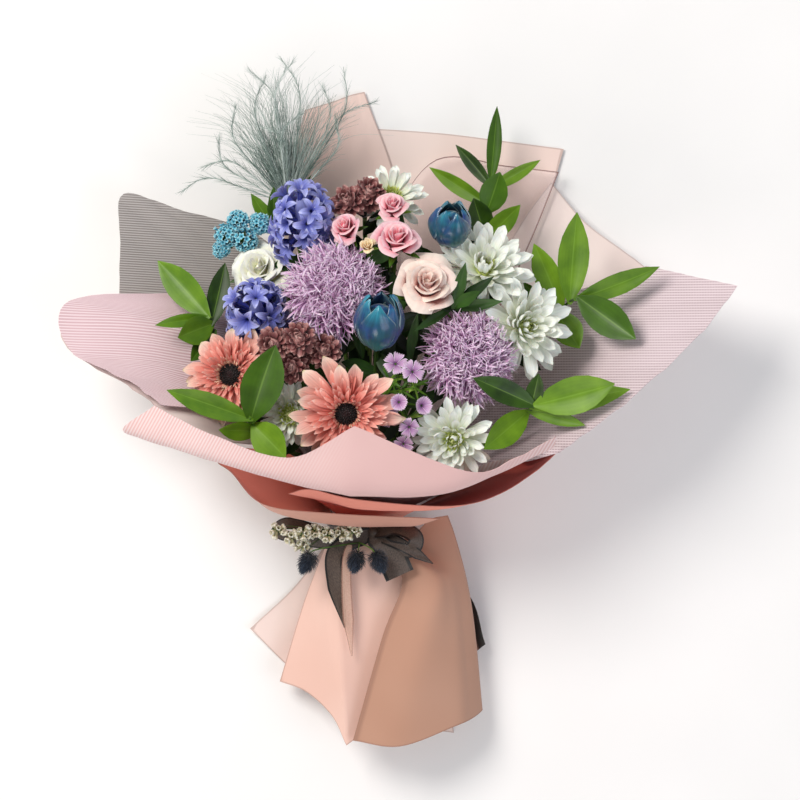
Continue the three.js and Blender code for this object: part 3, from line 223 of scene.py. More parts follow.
# Net wrap: thin threads laid side by side on a sheer ground. The real pitch is about 1.5 mm; it is drawn
# at 2.2 to 2.8 mm, so that the threads still show in the picture.
def netFinish(name, look):
    material, tree, shader = newMaterial(name, {
        "Roughness": 0.6, "Specular IOR Level": 0.3, "Sheen Weight": 0.2,
    })
    where = addNode(tree, "ShaderNodeTexCoord", out=3)
    place = where if look["space"] == "object" else addNode(tree, "ShaderNodeUVMap", uv_map="sheetUv")
    show = readValue(tree, "show")
    threads = None
    for angle, share in look["threads"]:
        rate = turn / (look["pitch"] * mm)
        across = (math.cos(math.radians(angle)) * rate, math.sin(math.radians(angle)) * rate, 0)
        wave = addNode(tree, "ShaderNodeVectorMath", {0: place, 1: across}, out=1, operation="DOT_PRODUCT")
        ridge = calc(tree, "SINE", wave)
        band = remap(tree, ridge, -0.5, 0.6, 0.0, share)
        threads = band if threads is None else calc(tree, "MAXIMUM", threads, band)
    shown = calc(tree, "MULTIPLY", threads, show)
    clouds = noise(tree, where, 9.0, 2.0)
    ground = colourRamp(tree, clouds, look["stops"])
    colour = blend(tree, shown, ground, look["thread"])
    dress(tree, shader, colour, 0.4, 0.0004, shown)
    return material


# Film: clear, glossy and thin, seen mostly by its cut edges, drawn as a dusky, denser band of painted shade,
# and by a soft reflection.
def filmFinish(name):
    material, tree, shader = newMaterial(name, {"Roughness": 0.12, "IOR": 1.48})
    inside = readValue(tree, "show")  # mm from the nearest edge
    # Painted shade: a dusky tint and denser cover along the film's cut edges.
    dense = remap(tree, inside, 0.6, 1.5, 0.8, 0.2)
    tree.links.new(dense, shader.inputs["Alpha"])
    rim = remap(tree, inside, 0.6, 1.5, 1.0, 0.0)
    tintWithEdgeShade = blend(tree, rim, linear("#FBE4E2"), "#9C7A76")
    where = addNode(tree, "ShaderNodeTexCoord", out=3)
    ripple = noise(tree, where, 20.0, 1.0)
    dress(tree, shader, tintWithEdgeShade, 0.5, 0.002, ripple)
    return material


# Organza ribbon: a sheer, smoky weave with a dark woven selvedge on both sides.
def organzaFinish(name, look):
    material, tree, shader = newMaterial(name, {
        "Roughness": 0.38, "Sheen Weight": 0.4, "Sheen Roughness": 0.3, "Alpha": look.get("alpha", 1.0)})
    place = addNode(tree, "ShaderNodeUVMap", uv_map="sheetUv")
    split = addNode(tree, "ShaderNodeSeparateXYZ", {0: place}).node
    share = readValue(tree, "show")  # 0 in the middle, 1 at an edge
    edge = remap(tree, share, 0.74, 0.8, 0.0, 1.0)
    weave = noise(tree, place, 700.0, 2.0)  # 1.4 mm slubs
    cloth = colourRamp(tree, weave, look["stops"])
    colour = blend(tree, edge, cloth, look["edge"])
    wave = calc(tree, "MULTIPLY", split.outputs[1], turn / 0.0012)
    ribs = calc(tree, "SINE", wave)
    dress(tree, shader, colour, 0.3, 0.0002, ribs)
    return material


# Stems, twigs and dried stalks: fibrous skin with darker and lighter stretches.
def stalkFinish(name, stops, rough=0.5):
    material, tree, shader = newMaterial(name, {"Roughness": rough, "Specular IOR Level": 0.4})
    where = addNode(tree, "ShaderNodeTexCoord", out=3)
    tone = readValue(tree, "tone")
    blotch = noise(tree, where, 60.0, 3.0)
    mixed = calc(tree, "MULTIPLY_ADD", tone, 0.6, -0.3)
    depth = calc(tree, "ADD", blotch, mixed)
    colour = colourRamp(tree, depth, stops)
    fibre = noise(tree, where, 700.0, 2.0)
    dress(tree, shader, colour, 0.3, 0.0003, fibre)
    return material


finishes = {
    "gerberaRay": petalFinish("gerbera_ray_petal", {
        "stops": [(0.0, "#D6685E"), (0.4, "#EC9A8C"), (0.8, "#F5BCAE"), (0.95, "#F8D8C6"), (1.0, "#DACE9A")],
        "veins": 0.22, "lines": 9.0, "spread": 0.1, "hue": 0.012}),
    "gerberaInner": petalFinish("gerbera_inner_floret", {
        "stops": [(0.0, "#C8524A"), (0.45, "#EC8578"), (0.85, "#F6A798"), (1.0, "#FBD0C2")], "spread": 0.16,
        "veins": 0.12}),
    "gerberaPollen": petalFinish("gerbera_disc_floret", {
        "stops": [(0.0, "#6E2A20"), (0.45, "#F0A184"), (1.0, "#FDE8C8")], "spread": 0.2, "bump": 0.2}),
    "eye": petalFinish("gerbera_dark_disc", {
        "stops": [(0.0, "#080304"), (0.7, "#170A0A"), (1.0, "#38181A")], "rough": 0.75, "soft": 0.0,
        "spread": 0.4}),
    "tulip": petalFinish("dyed_tulip_petal", {
        "stops": [(0.0, "#3F9088"), (0.35, "#10505F"), (0.7, "#145070"), (1.0, "#2C9CB6")],
        "patch": ("#173A7C", 60.0), "edge": (0.06, "#B9DAD8"),
        "rough": 0.22, "gloss": 0.6, "veins": 0.35, "lines": 9.0, "spread": 0.14, "hue": 0.02, "soft": 0.04}),
    "lavender": petalFinish("lavender_chrysanthemum_floret", {
        "stops": [(0.0, "#8E4E92"), (0.35, "#D494CE"), (0.75, "#F0C0E8"), (1.0, "#FCE8F8")], "spread": 0.2,
        "hue": 0.018}),
    "lavenderPale": petalFinish("pale_lavender_floret", {
        "stops": [(0.0, "#BE84BE"), (0.35, "#E6B4E0"), (0.8, "#F6D6F2"), (1.0, "#FEF2FC")], "spread": 0.16,
        "hue": 0.015}),
    "white": petalFinish("white_chrysanthemum_petal", {
        "stops": [(0.0, "#C9D38E"), (0.22, "#EDF2DC"), (0.8, "#FAFCF6"), (1.0, "#F1F5EA")],
        "veins": 0.1, "lines": 5.0, "spread": 0.04, "soft": 0.2, "bump": 0.5}),
    "limeEye": petalFinish("young_green_floret", {
        "stops": [(0.0, "#8CA236"), (0.6, "#CCD96A"), (1.0, "#EEF2AC")], "spread": 0.15}),
    "blush": petalFinish("blush_rose_petal", {
        "stops": [(0.0, "#E4868C"), (0.4, "#F2B6B0"), (0.8, "#F8DAD0"), (1.0, "#FBEADC")], "spread": 0.05,
        "veins": 0.08}),
    "pink": petalFinish("pink_rose_petal", {
        "stops": [(0.0, "#C43E5A"), (0.45, "#E87E94"), (0.8, "#F6A4B2"), (1.0, "#FBD6DA")],
        "edge": (0.06, "#F9CBD2"), "spread": 0.09, "veins": 0.1}),
    "peach": petalFinish("peach_rose_petal", {
        "stops": [(0.0, "#D08A4C"), (0.6, "#EFC48C"), (1.0, "#F7E2BC")], "spread": 0.1}),
    "cream": petalFinish("cream_rose_petal", {
        "stops": [(0.0, "#DDE08C"), (0.45, "#F2F4C6"), (0.85, "#FAFAE6"), (1.0, "#FDFDF6")], "spread": 0.05,
        "veins": 0.07}),
    "hyacinth": petalFinish("waxy_hyacinth_lobe", {
        "stops": [(0.0, "#3A43A4"), (0.35, "#747CD0"), (0.8, "#A8AEEA"), (1.0, "#CDD1F8")],
        "rib": 0.25, "rough": 0.36, "gloss": 0.5, "veins": 0.25, "lines": 3.5, "spread": 0.2, "hue": 0.014,
        "soft": 0.1}),
    "brown": petalFinish("glossy_burgundy_bract", {
        "stops": [(0.0, "#341614"), (0.35, "#82484A"), (0.8, "#AE7470"), (1.0, "#D6AEA6")],
        "rough": 0.42, "gloss": 0.45, "spread": 0.35, "hue": 0.02, "soft": 0.0}),
    "dianthus": petalFinish("sweet_william_petal", {
        "stops": [(0.0, "#5E2A60"), (0.22, "#A070A2"), (0.55, "#C79CC6"), (1.0, "#E4C8E0")],
        "spread": 0.15, "edge": (0.1, "#F3DFF2")}),
    "teal": petalFinish("small_teal_floret", {
        "stops": [(0.0, "#2A86A4"), (0.5, "#72CCE2"), (1.0, "#D4F8FA")], "spread": 0.4, "hue": 0.03}),
    "gypsophila": petalFinish("dried_gypsophila_floret", {
        "stops": [(0.0, "#B4AE86"), (0.5, "#E8E3C8"), (1.0, "#FBF9EC")], "rough": 0.8, "spread": 0.12}),
    "hareTail": petalFinish("dyed_hares_tail_hair", {
        "stops": [(0.0, "#10161F"), (0.6, "#232F40"), (1.0, "#4C5C70")], "rough": 0.8, "soft": 0.0,
        "spread": 0.25}),
    "leaf": leafFinish("glossy_ruscus_leaf", {
        "stops": [(0.1, "#1E3805"), (0.5, "#456D0C"), (0.95, "#7EA622")], "vein": "#8CB446", "rough": 0.42}),
    # Dark foliage deep in the bunch: real dark leaves, painted darker still as the shade in the gaps between
    # the blooms.
    "darkLeaf": leafFinish("dark_foliage_leaf_and_painted_shade", {
        "stops": [(0.1, "#0F1F0A"), (0.5, "#1C3611"), (0.95, "#34591C")], "vein": "#3F6428", "rough": 0.4}),
    "lime": leafFinish("lime_young_foliage", {
        "stops": [(0.1, "#35601A"), (0.5, "#69962C"), (0.95, "#A6C452")], "vein": "#B4CC70", "rough": 0.5}),
    "stem": stalkFinish("cut_green_stem", [(0.25, "#26400F"), (0.55, "#466B20"), (0.8, "#6E9140")]),
    "grass": stalkFinish("dried_grey_grass", [(0.25, "#74887F"), (0.5, "#9DB0A8"), (0.8, "#D0DBD5")], 0.7),
    "peachPaper": paperFinish("matt_peach_paper", [(0.3, "#CF9682"), (0.7, "#DBA693")]),
    # The skirt's right side: the skirt paper painted a darker tan, as painted shade for the side away from
    # the light.
    "skirtPaperPaintedShade": paperFinish("skirt_paper_painted_shade", [(0.3, "#B3866F"), (0.7, "#C19680")]),
    "pinkPaper": paperFinish("matt_light_pink_paper", [(0.3, "#E5BDAE"), (0.7, "#ECCABD")]),
    "palePaper": paperFinish("matt_pale_pink_paper", [(0.3, "#F0DCD7"), (0.7, "#F6E9E5")]),
    "backPaper": paperFinish("matt_rose_paper", [(0.3, "#EFD5CC"), (0.7, "#F6E5DE")]),
    "flapPaper": paperFinish("matt_dusty_pink_paper", [(0.3, "#EBCBC0"), (0.7, "#F3DCD3")]),
    "coralPaper": paperFinish("matt_coral_paper", [(0.3, "#EC8E7A"), (0.7, "#F59E8A")]),
    # The right collar's inner face: the same coral paper painted deep red, as painted shade for the hollow
    # between collar and cuff.
    "coralInsidePaintedShade": paperFinish("shaded_coral_paper", [(0.3, "#A83E34"), (0.7, "#C05246")]),
    "greyNet": netFinish("grey_net_wrap", {
        "stops": [(0.3, "#847C79"), (0.7, "#958D8A")], "thread": "#C6C1BE", "threads": [(87, 0.75)],
        "pitch": 2.2, "space": "object"}),
    "pinkNet": netFinish("pink_net_wrap", {
        "stops": [(0.3, "#C6A2A8"), (0.7, "#D9B6BC")], "thread": "#F2DFE2", "threads": [(0, 0.85)],
        "pitch": 2.8, "space": "sheet"}),
    "gridNet": netFinish("pink_grid_net_wrap", {
        "stops": [(0.3, "#B49BA2"), (0.7, "#C6AFB6")], "thread": "#EFE0E3", "threads": [(90, 0.85), (0, 0.4)],
        "pitch": 2.4, "space": "object"}),
    "pinkWrap": netFinish("ribbed_pink_wrap", {
        "stops": [(0.3, "#DEB3B0"), (0.7, "#E7C1BD")], "thread": "#F2DEDD", "threads": [(150, 0.85)],
        "pitch": 2.7, "space": "object"}),
    "film": filmFinish("clear_wrapping_film"),
    "organza": organzaFinish("smoky_organza",
                             {"stops": [(0.3, "#3A2F28"), (0.7, "#5E4E44")], "edge": "#060404"}),
    # The sheet under the skirt's right side: paper painted dark brown with a near-black edge, as painted
    # shade for the shadowed backing.
    "underPaperPaintedShade": organzaFinish("dark_edged_paper",
                              {"stops": [(0.3, "#8E6A5C"), (0.7, "#A27C6E")], "edge": "#1C1614"}),
    "sheer": organzaFinish("pale_organza",
                           {"stops": [(0.3, "#CFA894"), (0.7, "#E0BCAA")], "edge": "#A87C6A", "alpha": 0.5}),
}
print("materials", len(finishes))


# Shapes from grids of points.
def normalsOf(grid):
    normal = np.cross(np.gradient(grid, axis=0), np.gradient(grid, axis=1))
    return normal / np.maximum(np.linalg.norm(normal, axis=2, keepdims=True), 1e-9)


# A thin closed petal or leaf from rows of points, root to tip: full inside, with knife edges.
def lens(grid, thick, tone=0.5):
    grid = np.asarray(grid, float)
    rows, cols = grid.shape[:2]
    normal = normalsOf(grid)
    upper = np.arange(rows * cols).reshape(rows, cols)
    lower = upper.copy()
    lower[1:-1, 1:-1] = rows * cols + np.arange((rows - 2) * (cols - 2)).reshape(rows - 2, cols - 2)
    half = np.zeros((rows, cols, 1))
    half[1:-1, 1:-1] = thick / 2
    verts = np.concatenate([(grid + normal * half).reshape(-1, 3),
                            (grid - normal * half)[1:-1, 1:-1].reshape(-1, 3)])
    across, along = np.meshgrid(np.linspace(0, 1, cols), np.linspace(0, 1, rows))
    uv = np.stack([across, along], -1)
    uv = np.concatenate([uv.reshape(-1, 2), uv[1:-1, 1:-1].reshape(-1, 2)])
    return {"verts": verts, "faces": np.concatenate([quads(upper), quads(lower)[:, ::-1]]), "uv": uv,
            "tone": tone, "rim": rimPairs(upper)}


def rimPairs(number):
    rim = np.concatenate([number[0, :-1], number[:-1, -1], number[-1, :0:-1], number[:0:-1, 0]])
    return np.stack([rim, np.roll(rim, -1)], -1)


def quads(number):
    return np.stack([number[:-1, :-1], number[1:, :-1], number[1:, 1:], number[:-1, 1:]], -1).reshape(-1, 4)


# A sheet of even thickness from rows of points, with its own flat coordinates in metres.
def slab(grid, thick, show):
    rows, cols = grid.shape[:2]
    normal = normalsOf(grid)
    verts = np.concatenate([(grid + normal * thick / 2).reshape(-1, 3),
                            (grid - normal * thick / 2).reshape(-1, 3)])
    upper = np.arange(rows * cols).reshape(rows, cols)
    lower = upper + rows * cols
    pairs = rimPairs(upper)
    rim, after = pairs.T
    wall = np.stack([rim, after, after + rows * cols, rim + rows * cols], -1)
    faces = np.concatenate([quads(upper), quads(lower)[:, ::-1], wall])
    stepAcross = np.linalg.norm(np.diff(grid, axis=1), axis=2)
    stepAlong = np.linalg.norm(np.diff(grid, axis=0), axis=2)
    u = np.concatenate([np.zeros((rows, 1)), np.cumsum(stepAcross, 1)], 1)
    u -= u[:, cols // 2][:, None]
    v = np.concatenate([np.zeros((1, cols)), np.cumsum(stepAlong, 0)], 0)
    uv = np.stack([u, v], -1).reshape(-1, 2) * mm
    return {"verts": verts, "faces": faces, "uv": np.concatenate([uv, uv]),
            "show": np.tile(show.reshape(-1), 2), "rim": np.concatenate([pairs, pairs + rows * cols])}


# One plain mesh object from such shapes. Its attributes are what the materials read.
def meshObject(name, shapes, material, place=None, uvName="petalUv", collection=None):
    starts = np.cumsum([0] + [len(s["verts"]) for s in shapes[:-1]])
    verts = np.concatenate([s["verts"] for s in shapes])
    faces = np.concatenate([s["faces"] + start for s, start in zip(shapes, starts)])
    mesh = bpy.data.meshes.new(name)
    mesh.from_pydata(verts.tolist(), [], faces.tolist())
    loops = np.empty(len(mesh.loops), int)
    mesh.loops.foreach_get("vertex_index", loops)
    uv = np.concatenate([s["uv"] for s in shapes])
    mesh.uv_layers.new(name=uvName).data.foreach_set("uv", uv[loops].ravel())
    for attribute in ("tone", "show"):
        if attribute in shapes[0]:
            values = np.concatenate([np.broadcast_to(s[attribute], len(s["verts"])) for s in shapes])
            mesh.attributes.new(attribute, "FLOAT", "POINT").data.foreach_set("value",
                    values.astype(np.float32))
    mesh.polygons.foreach_set("use_smooth", np.ones(len(mesh.polygons), bool))
    sharp = [s["rim"] + start for s, start in zip(shapes, starts) if "rim" in s]
    if sharp:
        ends = np.empty(2 * len(mesh.edges), int)
        mesh.edges.foreach_get("vertices", ends)
        keys = [np.sort(pairs.reshape(-1, 2), 1) @ [len(verts), 1] for pairs in (ends, np.concatenate(sharp))]
        mesh.edges.foreach_set("use_edge_sharp", np.isin(*keys))
    if material:
        mesh.materials.append(material)
    if place is not None:
        mesh.transform(toFrame @ place)
    mesh.update()
    piece = bpy.data.objects.new(name, mesh)
    (collection or scene.collection).objects.link(piece)
    return piece


# The points of a blade along +X with its upper face to +Z. outline is [share of length, share of width].
def bladeGrid(length, width, outline, curl=0.0, gather=1.0, cup=0.0, wave=0.0, waves=1.5, phase=0.0,
              fringe=0.0, twist=0.0, sway=0.0, rows=7, cols=5):
    along = np.linspace(0, 1, rows)
    angle = curl * along ** gather
    middle = (angle[1:] + angle[:-1]) / 2
    step = length / (rows - 1)
    x = np.concatenate([[0], np.cumsum(np.cos(middle) * step)])
    z = np.concatenate([[0], np.cumsum(np.sin(middle) * step)])
    half = width / 2 * np.interp(along, *np.array(outline).T)
    side = np.linspace(-1, 1, cols)
    y = half[:, None] * side
    lift = cup * half[:, None] * side ** 2
    ripple = wave * np.sin(turn * waves * along[:, None] + phase + 1.7 * (side > 0))
    lift = lift + ripple * side ** 2 * along[:, None]
    roll = (twist * along)[:, None]
    y, lift = y * np.cos(roll) - lift * np.sin(roll), y * np.sin(roll) + lift * np.cos(roll)
    y = y + (sway * length * along ** 2)[:, None]
    x = x[:, None] - np.sin(angle)[:, None] * lift
    x[-1, 1::2] -= fringe
    return np.stack([x, y, z[:, None] + np.cos(angle)[:, None] * lift], -1)


# Trees that repeat petals and florets.
def newTree(name, sockets):
    tree = bpy.data.node_groups.new(name, "GeometryNodeTree")
    for label, kind, value in sockets:
        socket = tree.interface.new_socket(label, in_out="INPUT", socket_type="NodeSocket" + kind)
        if value is not None:
            socket.default_value = value
    tree.interface.new_socket("Geometry", in_out="OUTPUT", socket_type="NodeSocketGeometry")
    return tree, tree.nodes.new("NodeGroupInput").outputs


repeatSockets = [
    ("Shapes", "Collection", None), ("Material", "Material", None), ("Seed", "Int", 1),
    ("Size", "Float", 1.0), ("Size spread", "Float", 0.08), ("Wobble", "Float", 0.05),
]


def randomIn(tree, given, low, high, salt):
    seed = calc(tree, "ADD", given["Seed"], salt)
    return addNode(tree, "FunctionNodeRandomValue", {2: low, 3: high, 8: seed}, out=1)


# The end that all the repeating trees share: shapes picked at random, sized, toned, made real.
def placeShapes(tree, given, points, rotation, size):
    shapes = addNode(tree, "GeometryNodeCollectionInfo", {0: given["Shapes"], 1: True, 2: True})
    seed = calc(tree, "ADD", given["Seed"], 5.0)
    pick = addNode(tree, "FunctionNodeRandomValue", {4: 0, 5: 99, 8: seed}, out=2, data_type="INT")
    varied = calc(tree, "MULTIPLY_ADD", randomIn(tree, given, -1.0, 1.0, 9.0), given["Size spread"], 1.0)
    scaled = calc(tree, "MULTIPLY", varied, size)
    placed = addNode(tree, "GeometryNodeInstanceOnPoints", {
        0: points, 2: shapes, 3: True, 4: pick, 5: rotation, 6: scaled})
    toned = addNode(tree, "GeometryNodeStoreNamedAttribute", {
        0: placed, "Name": "tone", "Value": randomIn(tree, given, 0.0, 1.0, 21.0)}, data_type="FLOAT",
        domain="INSTANCE")
    real = addNode(tree, "GeometryNodeRealizeInstances", {0: toned})
    finished = addNode(tree, "GeometryNodeSetMaterial", {0: real, "Material": given["Material"]})
    tree.links.new(finished, tree.nodes.new("NodeGroupOutput").inputs[0])
    return tree


# A ring of petals round +Z: each stands at Radius and Height, and rises by Rise from the ring's plane.
def whorlTree():
    tree, given = newTree("petal whorl", repeatSockets + [
        ("Count", "Int", 12), ("Turn", "Float", 0.5), ("Start", "Float", 0.0),
        ("Radius", "Float", 10.0), ("Height", "Float", 0.0), ("Rise", "Float", 0.1)])
    index = addNode(tree, "GeometryNodeInputIndex")
    angle = calc(tree, "MULTIPLY_ADD", index, given["Turn"], given["Start"])
    angle = calc(tree, "MULTIPLY_ADD", randomIn(tree, given, -1.0, 1.0, 1.0), given["Wobble"], angle)
    rise = calc(tree, "MULTIPLY_ADD", randomIn(tree, given, -1.3, 1.3, 2.0), given["Wobble"], given["Rise"])
    roll = calc(tree, "MULTIPLY", randomIn(tree, given, -2.5, 2.5, 3.0), given["Wobble"])
    cosine = calc(tree, "COSINE", angle)
    sine = calc(tree, "SINE", angle)
    x = calc(tree, "MULTIPLY", cosine, given["Radius"])
    y = calc(tree, "MULTIPLY", sine, given["Radius"])
    spot = addNode(tree, "ShaderNodeCombineXYZ", {0: x, 1: y, 2: given["Height"]})
    points = addNode(tree, "GeometryNodePoints", {0: given["Count"], 1: spot})
    down = calc(tree, "MULTIPLY", rise, -1.0)
    euler = addNode(tree, "ShaderNodeCombineXYZ", {0: roll, 1: down, 2: angle})
    rotation = addNode(tree, "FunctionNodeEulerToRotation", {0: euler})
    return placeShapes(tree, given, points, rotation, given["Size"])


# Petals spread evenly over a dome, the golden angle apart, each pointing out from near its middle.
def domeTree():
    tree, given = newTree("petal dome", repeatSockets + [
        ("Count", "Int", 60), ("Radius", "Float", 20.0), ("Flat", "Float", 1.0), ("From", "Float", 0.0),
        ("Widest", "Float", 1.9), ("Lean", "Float", 0.0), ("Rim size", "Float", 1.0)])
    index = addNode(tree, "GeometryNodeInputIndex")
    half = calc(tree, "ADD", index, 0.5)
    share = calc(tree, "DIVIDE", half, given["Count"])
    first = calc(tree, "COSINE", given["From"])
    last = calc(tree, "COSINE", given["Widest"])
    height = remap(tree, share, 0.0, 1.0, first, last)
    polar = calc(tree, "ARCCOSINE", height)
    angle = calc(tree, "MULTIPLY", index, golden)
    angle = calc(tree, "MULTIPLY_ADD", randomIn(tree, given, -1.0, 1.0, 1.0), given["Wobble"], angle)
    sine = calc(tree, "SINE", polar)
    reach = calc(tree, "MULTIPLY", sine, given["Radius"])
    x = calc(tree, "MULTIPLY", calc(tree, "COSINE", angle), reach)
    y = calc(tree, "MULTIPLY", calc(tree, "SINE", angle), reach)
    z = calc(tree, "MULTIPLY", height, given["Radius"])
    z = calc(tree, "MULTIPLY", z, given["Flat"])
    spot = addNode(tree, "ShaderNodeCombineXYZ", {0: x, 1: y, 2: z})
    points = addNode(tree, "GeometryNodePoints", {0: given["Count"], 1: spot})
    rise = calc(tree, "SUBTRACT", polar, math.pi / 2)
    rise = calc(tree, "SUBTRACT", rise, given["Lean"])
    rise = calc(tree, "MULTIPLY_ADD", randomIn(tree, given, -1.3, 1.3, 2.0), given["Wobble"], rise)
    roll = calc(tree, "MULTIPLY", randomIn(tree, given, -3.0, 3.0, 3.0), given["Wobble"])
    euler = addNode(tree, "ShaderNodeCombineXYZ", {0: roll, 1: rise, 2: angle})
    rotation = addNode(tree, "FunctionNodeEulerToRotation", {0: euler})
    size = remap(tree, share, 0.0, 1.0, given["Size"], given["Rim size"])
    return placeShapes(tree, given, points, rotation, size)


# Shapes that stand on given points, their own +Z turned along each point's direction.
def headsTree():
    tree, given = newTree("heads on points", [("Geometry", "Geometry", None)] + repeatSockets)
    direction = addNode(tree, "GeometryNodeInputNamedAttribute", {"Name": "direction"},
                        data_type="FLOAT_VECTOR")
    upright = addNode(tree, "FunctionNodeAlignRotationToVector", {"Vector": direction}, axis="Z")
    spin = addNode(tree, "ShaderNodeCombineXYZ", {2: randomIn(tree, given, 0.0, turn, 3.0)})
    spun = addNode(tree, "FunctionNodeEulerToRotation", {0: spin})
    rotation = addNode(tree, "FunctionNodeRotateRotation", {0: upright, 1: spun}, rotation_space="LOCAL")
    return placeShapes(tree, given, given["Geometry"], rotation, given["Size"])


# Round stalks along lines of points, as thick as each point says.
def stalksTree():
    tree, given = newTree("stalks on paths",
                          [("Geometry", "Geometry", None), ("Material", "Material", None),
                           ("Sides", "Int", 6)])
    line = addNode(tree, "GeometryNodeMeshToCurve", {0: given["Geometry"]})
    ring = addNode(tree, "GeometryNodeCurvePrimitiveCircle", {"Resolution": given["Sides"], "Radius": 1.0})
    thickness = addNode(tree, "GeometryNodeInputNamedAttribute", {"Name": "thickness"}, data_type="FLOAT")
    tube = addNode(tree, "GeometryNodeCurveToMesh", {0: line, 1: ring, "Scale": thickness, "Fill Caps": True})
    real = addNode(tree, "GeometryNodeRealizeInstances", {0: tube})
    finished = addNode(tree, "GeometryNodeSetMaterial", {0: real, "Material": given["Material"]})
    tree.links.new(finished, tree.nodes.new("NodeGroupOutput").inputs[0])
    return tree


trees = {"whorl": whorlTree(), "dome": domeTree(), "heads": headsTree(), "stalks": stalksTree()}
seeds = iter(range(100, 9000, 37))


# Runs a tree on a host object and keeps the result as a plain mesh in its place.
def grown(kind, settings, place=None, source=None):
    tree = trees[kind]
    host = bpy.data.objects.new("growing", source or bpy.data.meshes.new("growing"))
    scene.collection.objects.link(host)
    modifier = host.modifiers.new("growing", "NODES")
    modifier.node_group = tree
    chosen = {"Seed": next(seeds), **settings}
    for item in tree.interface.items_tree:
        if item.item_type == "SOCKET" and item.in_out == "INPUT" and item.name in chosen:
            modifier[item.identifier] = chosen[item.name]
    depsgraph = bpy.context.evaluated_depsgraph_get()
    mesh = bpy.data.meshes.new_from_object(host.evaluated_get(depsgraph), preserve_all_data_layers=True,
                                           depsgraph=depsgraph)
    host.modifiers.remove(modifier)
    bpy.data.objects.remove(host)
    mesh.transform(toFrame @ (place or Matrix()))
    mesh.polygons.foreach_set("use_smooth", np.ones(len(mesh.polygons), bool))
    piece = bpy.data.objects.new("grown", mesh)
    scene.collection.objects.link(piece)
    return piece


def joined(name, parts):
    first = parts[0]
    if len(parts) > 1:
        with bpy.context.temp_override(active_object=first, object=first, selected_objects=parts,
                                       selected_editable_objects=parts):
            bpy.ops.object.join()
    first.name = name
    first.data.name = name
    return first


def ready(piece, node):
    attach(piece, "root")
    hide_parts(node)
    return piece


setAside = []


# Several variants of one shape, kept aside for the trees to pick from.
def gridSet(name, grids, thick):
    return mixedSet(name, [[lens(grid, thick)] for grid in grids])


def mixedSet(name, shapeLists):
    collection = bpy.data.collections.new(name)
    scene.collection.children.link(collection)
    for k, shapes in enumerate(shapeLists):
        meshObject(f"{name}{k}", shapes, None, collection=collection)
    setAside.append(collection)
    return collection


# A point set for the heads tree.
def pointsMesh(spots, directions):
    mesh = bpy.data.meshes.new("spots")
    mesh.from_pydata([tuple(s) for s in spots], [], [])
    flat = np.array([tuple(d) for d in directions], np.float32).ravel()
    mesh.attributes.new("direction", "FLOAT_VECTOR", "POINT").data.foreach_set("vector", flat)
    return mesh


# Stalks along lines, each a list of points in plan mm with a radius for each.
def stalks(lines, radii, material, sides=6, place=None):
    verts, edges, thickness, tones = [], [], [], []
    for line, radius in zip(lines, radii):
        start = len(verts)
        tone = chance.random()
        for k, point in enumerate(line):
            verts.append(tuple(point))
            thickness.append(radius[k] if hasattr(radius, "__len__") else radius)
            tones.append(tone)
        edges += [(start + k, start + k + 1) for k in range(len(line) - 1)]
    mesh = bpy.data.meshes.new("lines")
    mesh.from_pydata(verts, edges, [])
    mesh.attributes.new("thickness", "FLOAT", "POINT").data.foreach_set("value",
            np.array(thickness, np.float32))
    mesh.attributes.new("tone", "FLOAT", "POINT").data.foreach_set("value", np.array(tones, np.float32))
    return grown("stalks", {"Material": material, "Sides": sides}, place, mesh)


# A smooth line through points, as many samples as steps for each stretch.
def smoothLine(points, steps):
    points = np.asarray(points, float)
    padded = np.concatenate([2 * points[:1] - points[1:2], points, 2 * points[-1:] - points[-2:-1]])
    out = []
    for i in range(len(points) - 1):
        before, a, b, after = padded[i:i + 4]
        start, end = (b - before) / 2, (after - a) / 2
        for k in range(steps):
            t = k / steps
            out.append(a + start * t + (3 * b - 3 * a - 2 * start - end) * t ** 2
                       + (2 * a - 2 * b + start + end) * t ** 3)
    return np.array(out + [points[-1]])


# The placing of a bloom: its own +Z turns to the direction it faces.
def facing(place, direction, spin=0.0):
    tilt = Vector((0, 0, 1)).rotation_difference(Vector(direction).normalized()).to_matrix().to_4x4()
    return Matrix.Translation(Vector(place)) @ tilt @ Matrix.Rotation(spin, 4, "Z")


stemStarts = []  # where each stem meets what it carries: point, direction down, radius there
branchRadius, stemRadius = 2.4, 2.1


def carry(place, depth, calyx=4.5):
    down = (place.to_3x3() @ Vector((0, 0, -1))).normalized()
    stemStarts.append((place @ Vector((0, 0, -depth - 0.5)), down, calyx))


def carryBranch(branch):
    stemStarts.append((Vector(branch) + Vector((0, 0, -3.5)), Vector((0, 0, -1)), branchRadius))


# Wrapper.
# A point of the tie's oval: 0 degrees is its right, 90 its upper side, 270 its back.
def waist(degrees, layer, below=0):
    angle = math.radians(degrees)
    return (tie["x"] + tie["halfWidth"] * layer * math.cos(angle), tie["y"] - below,
            tie["z"] + tie["halfDepth"] * layer * math.sin(angle))


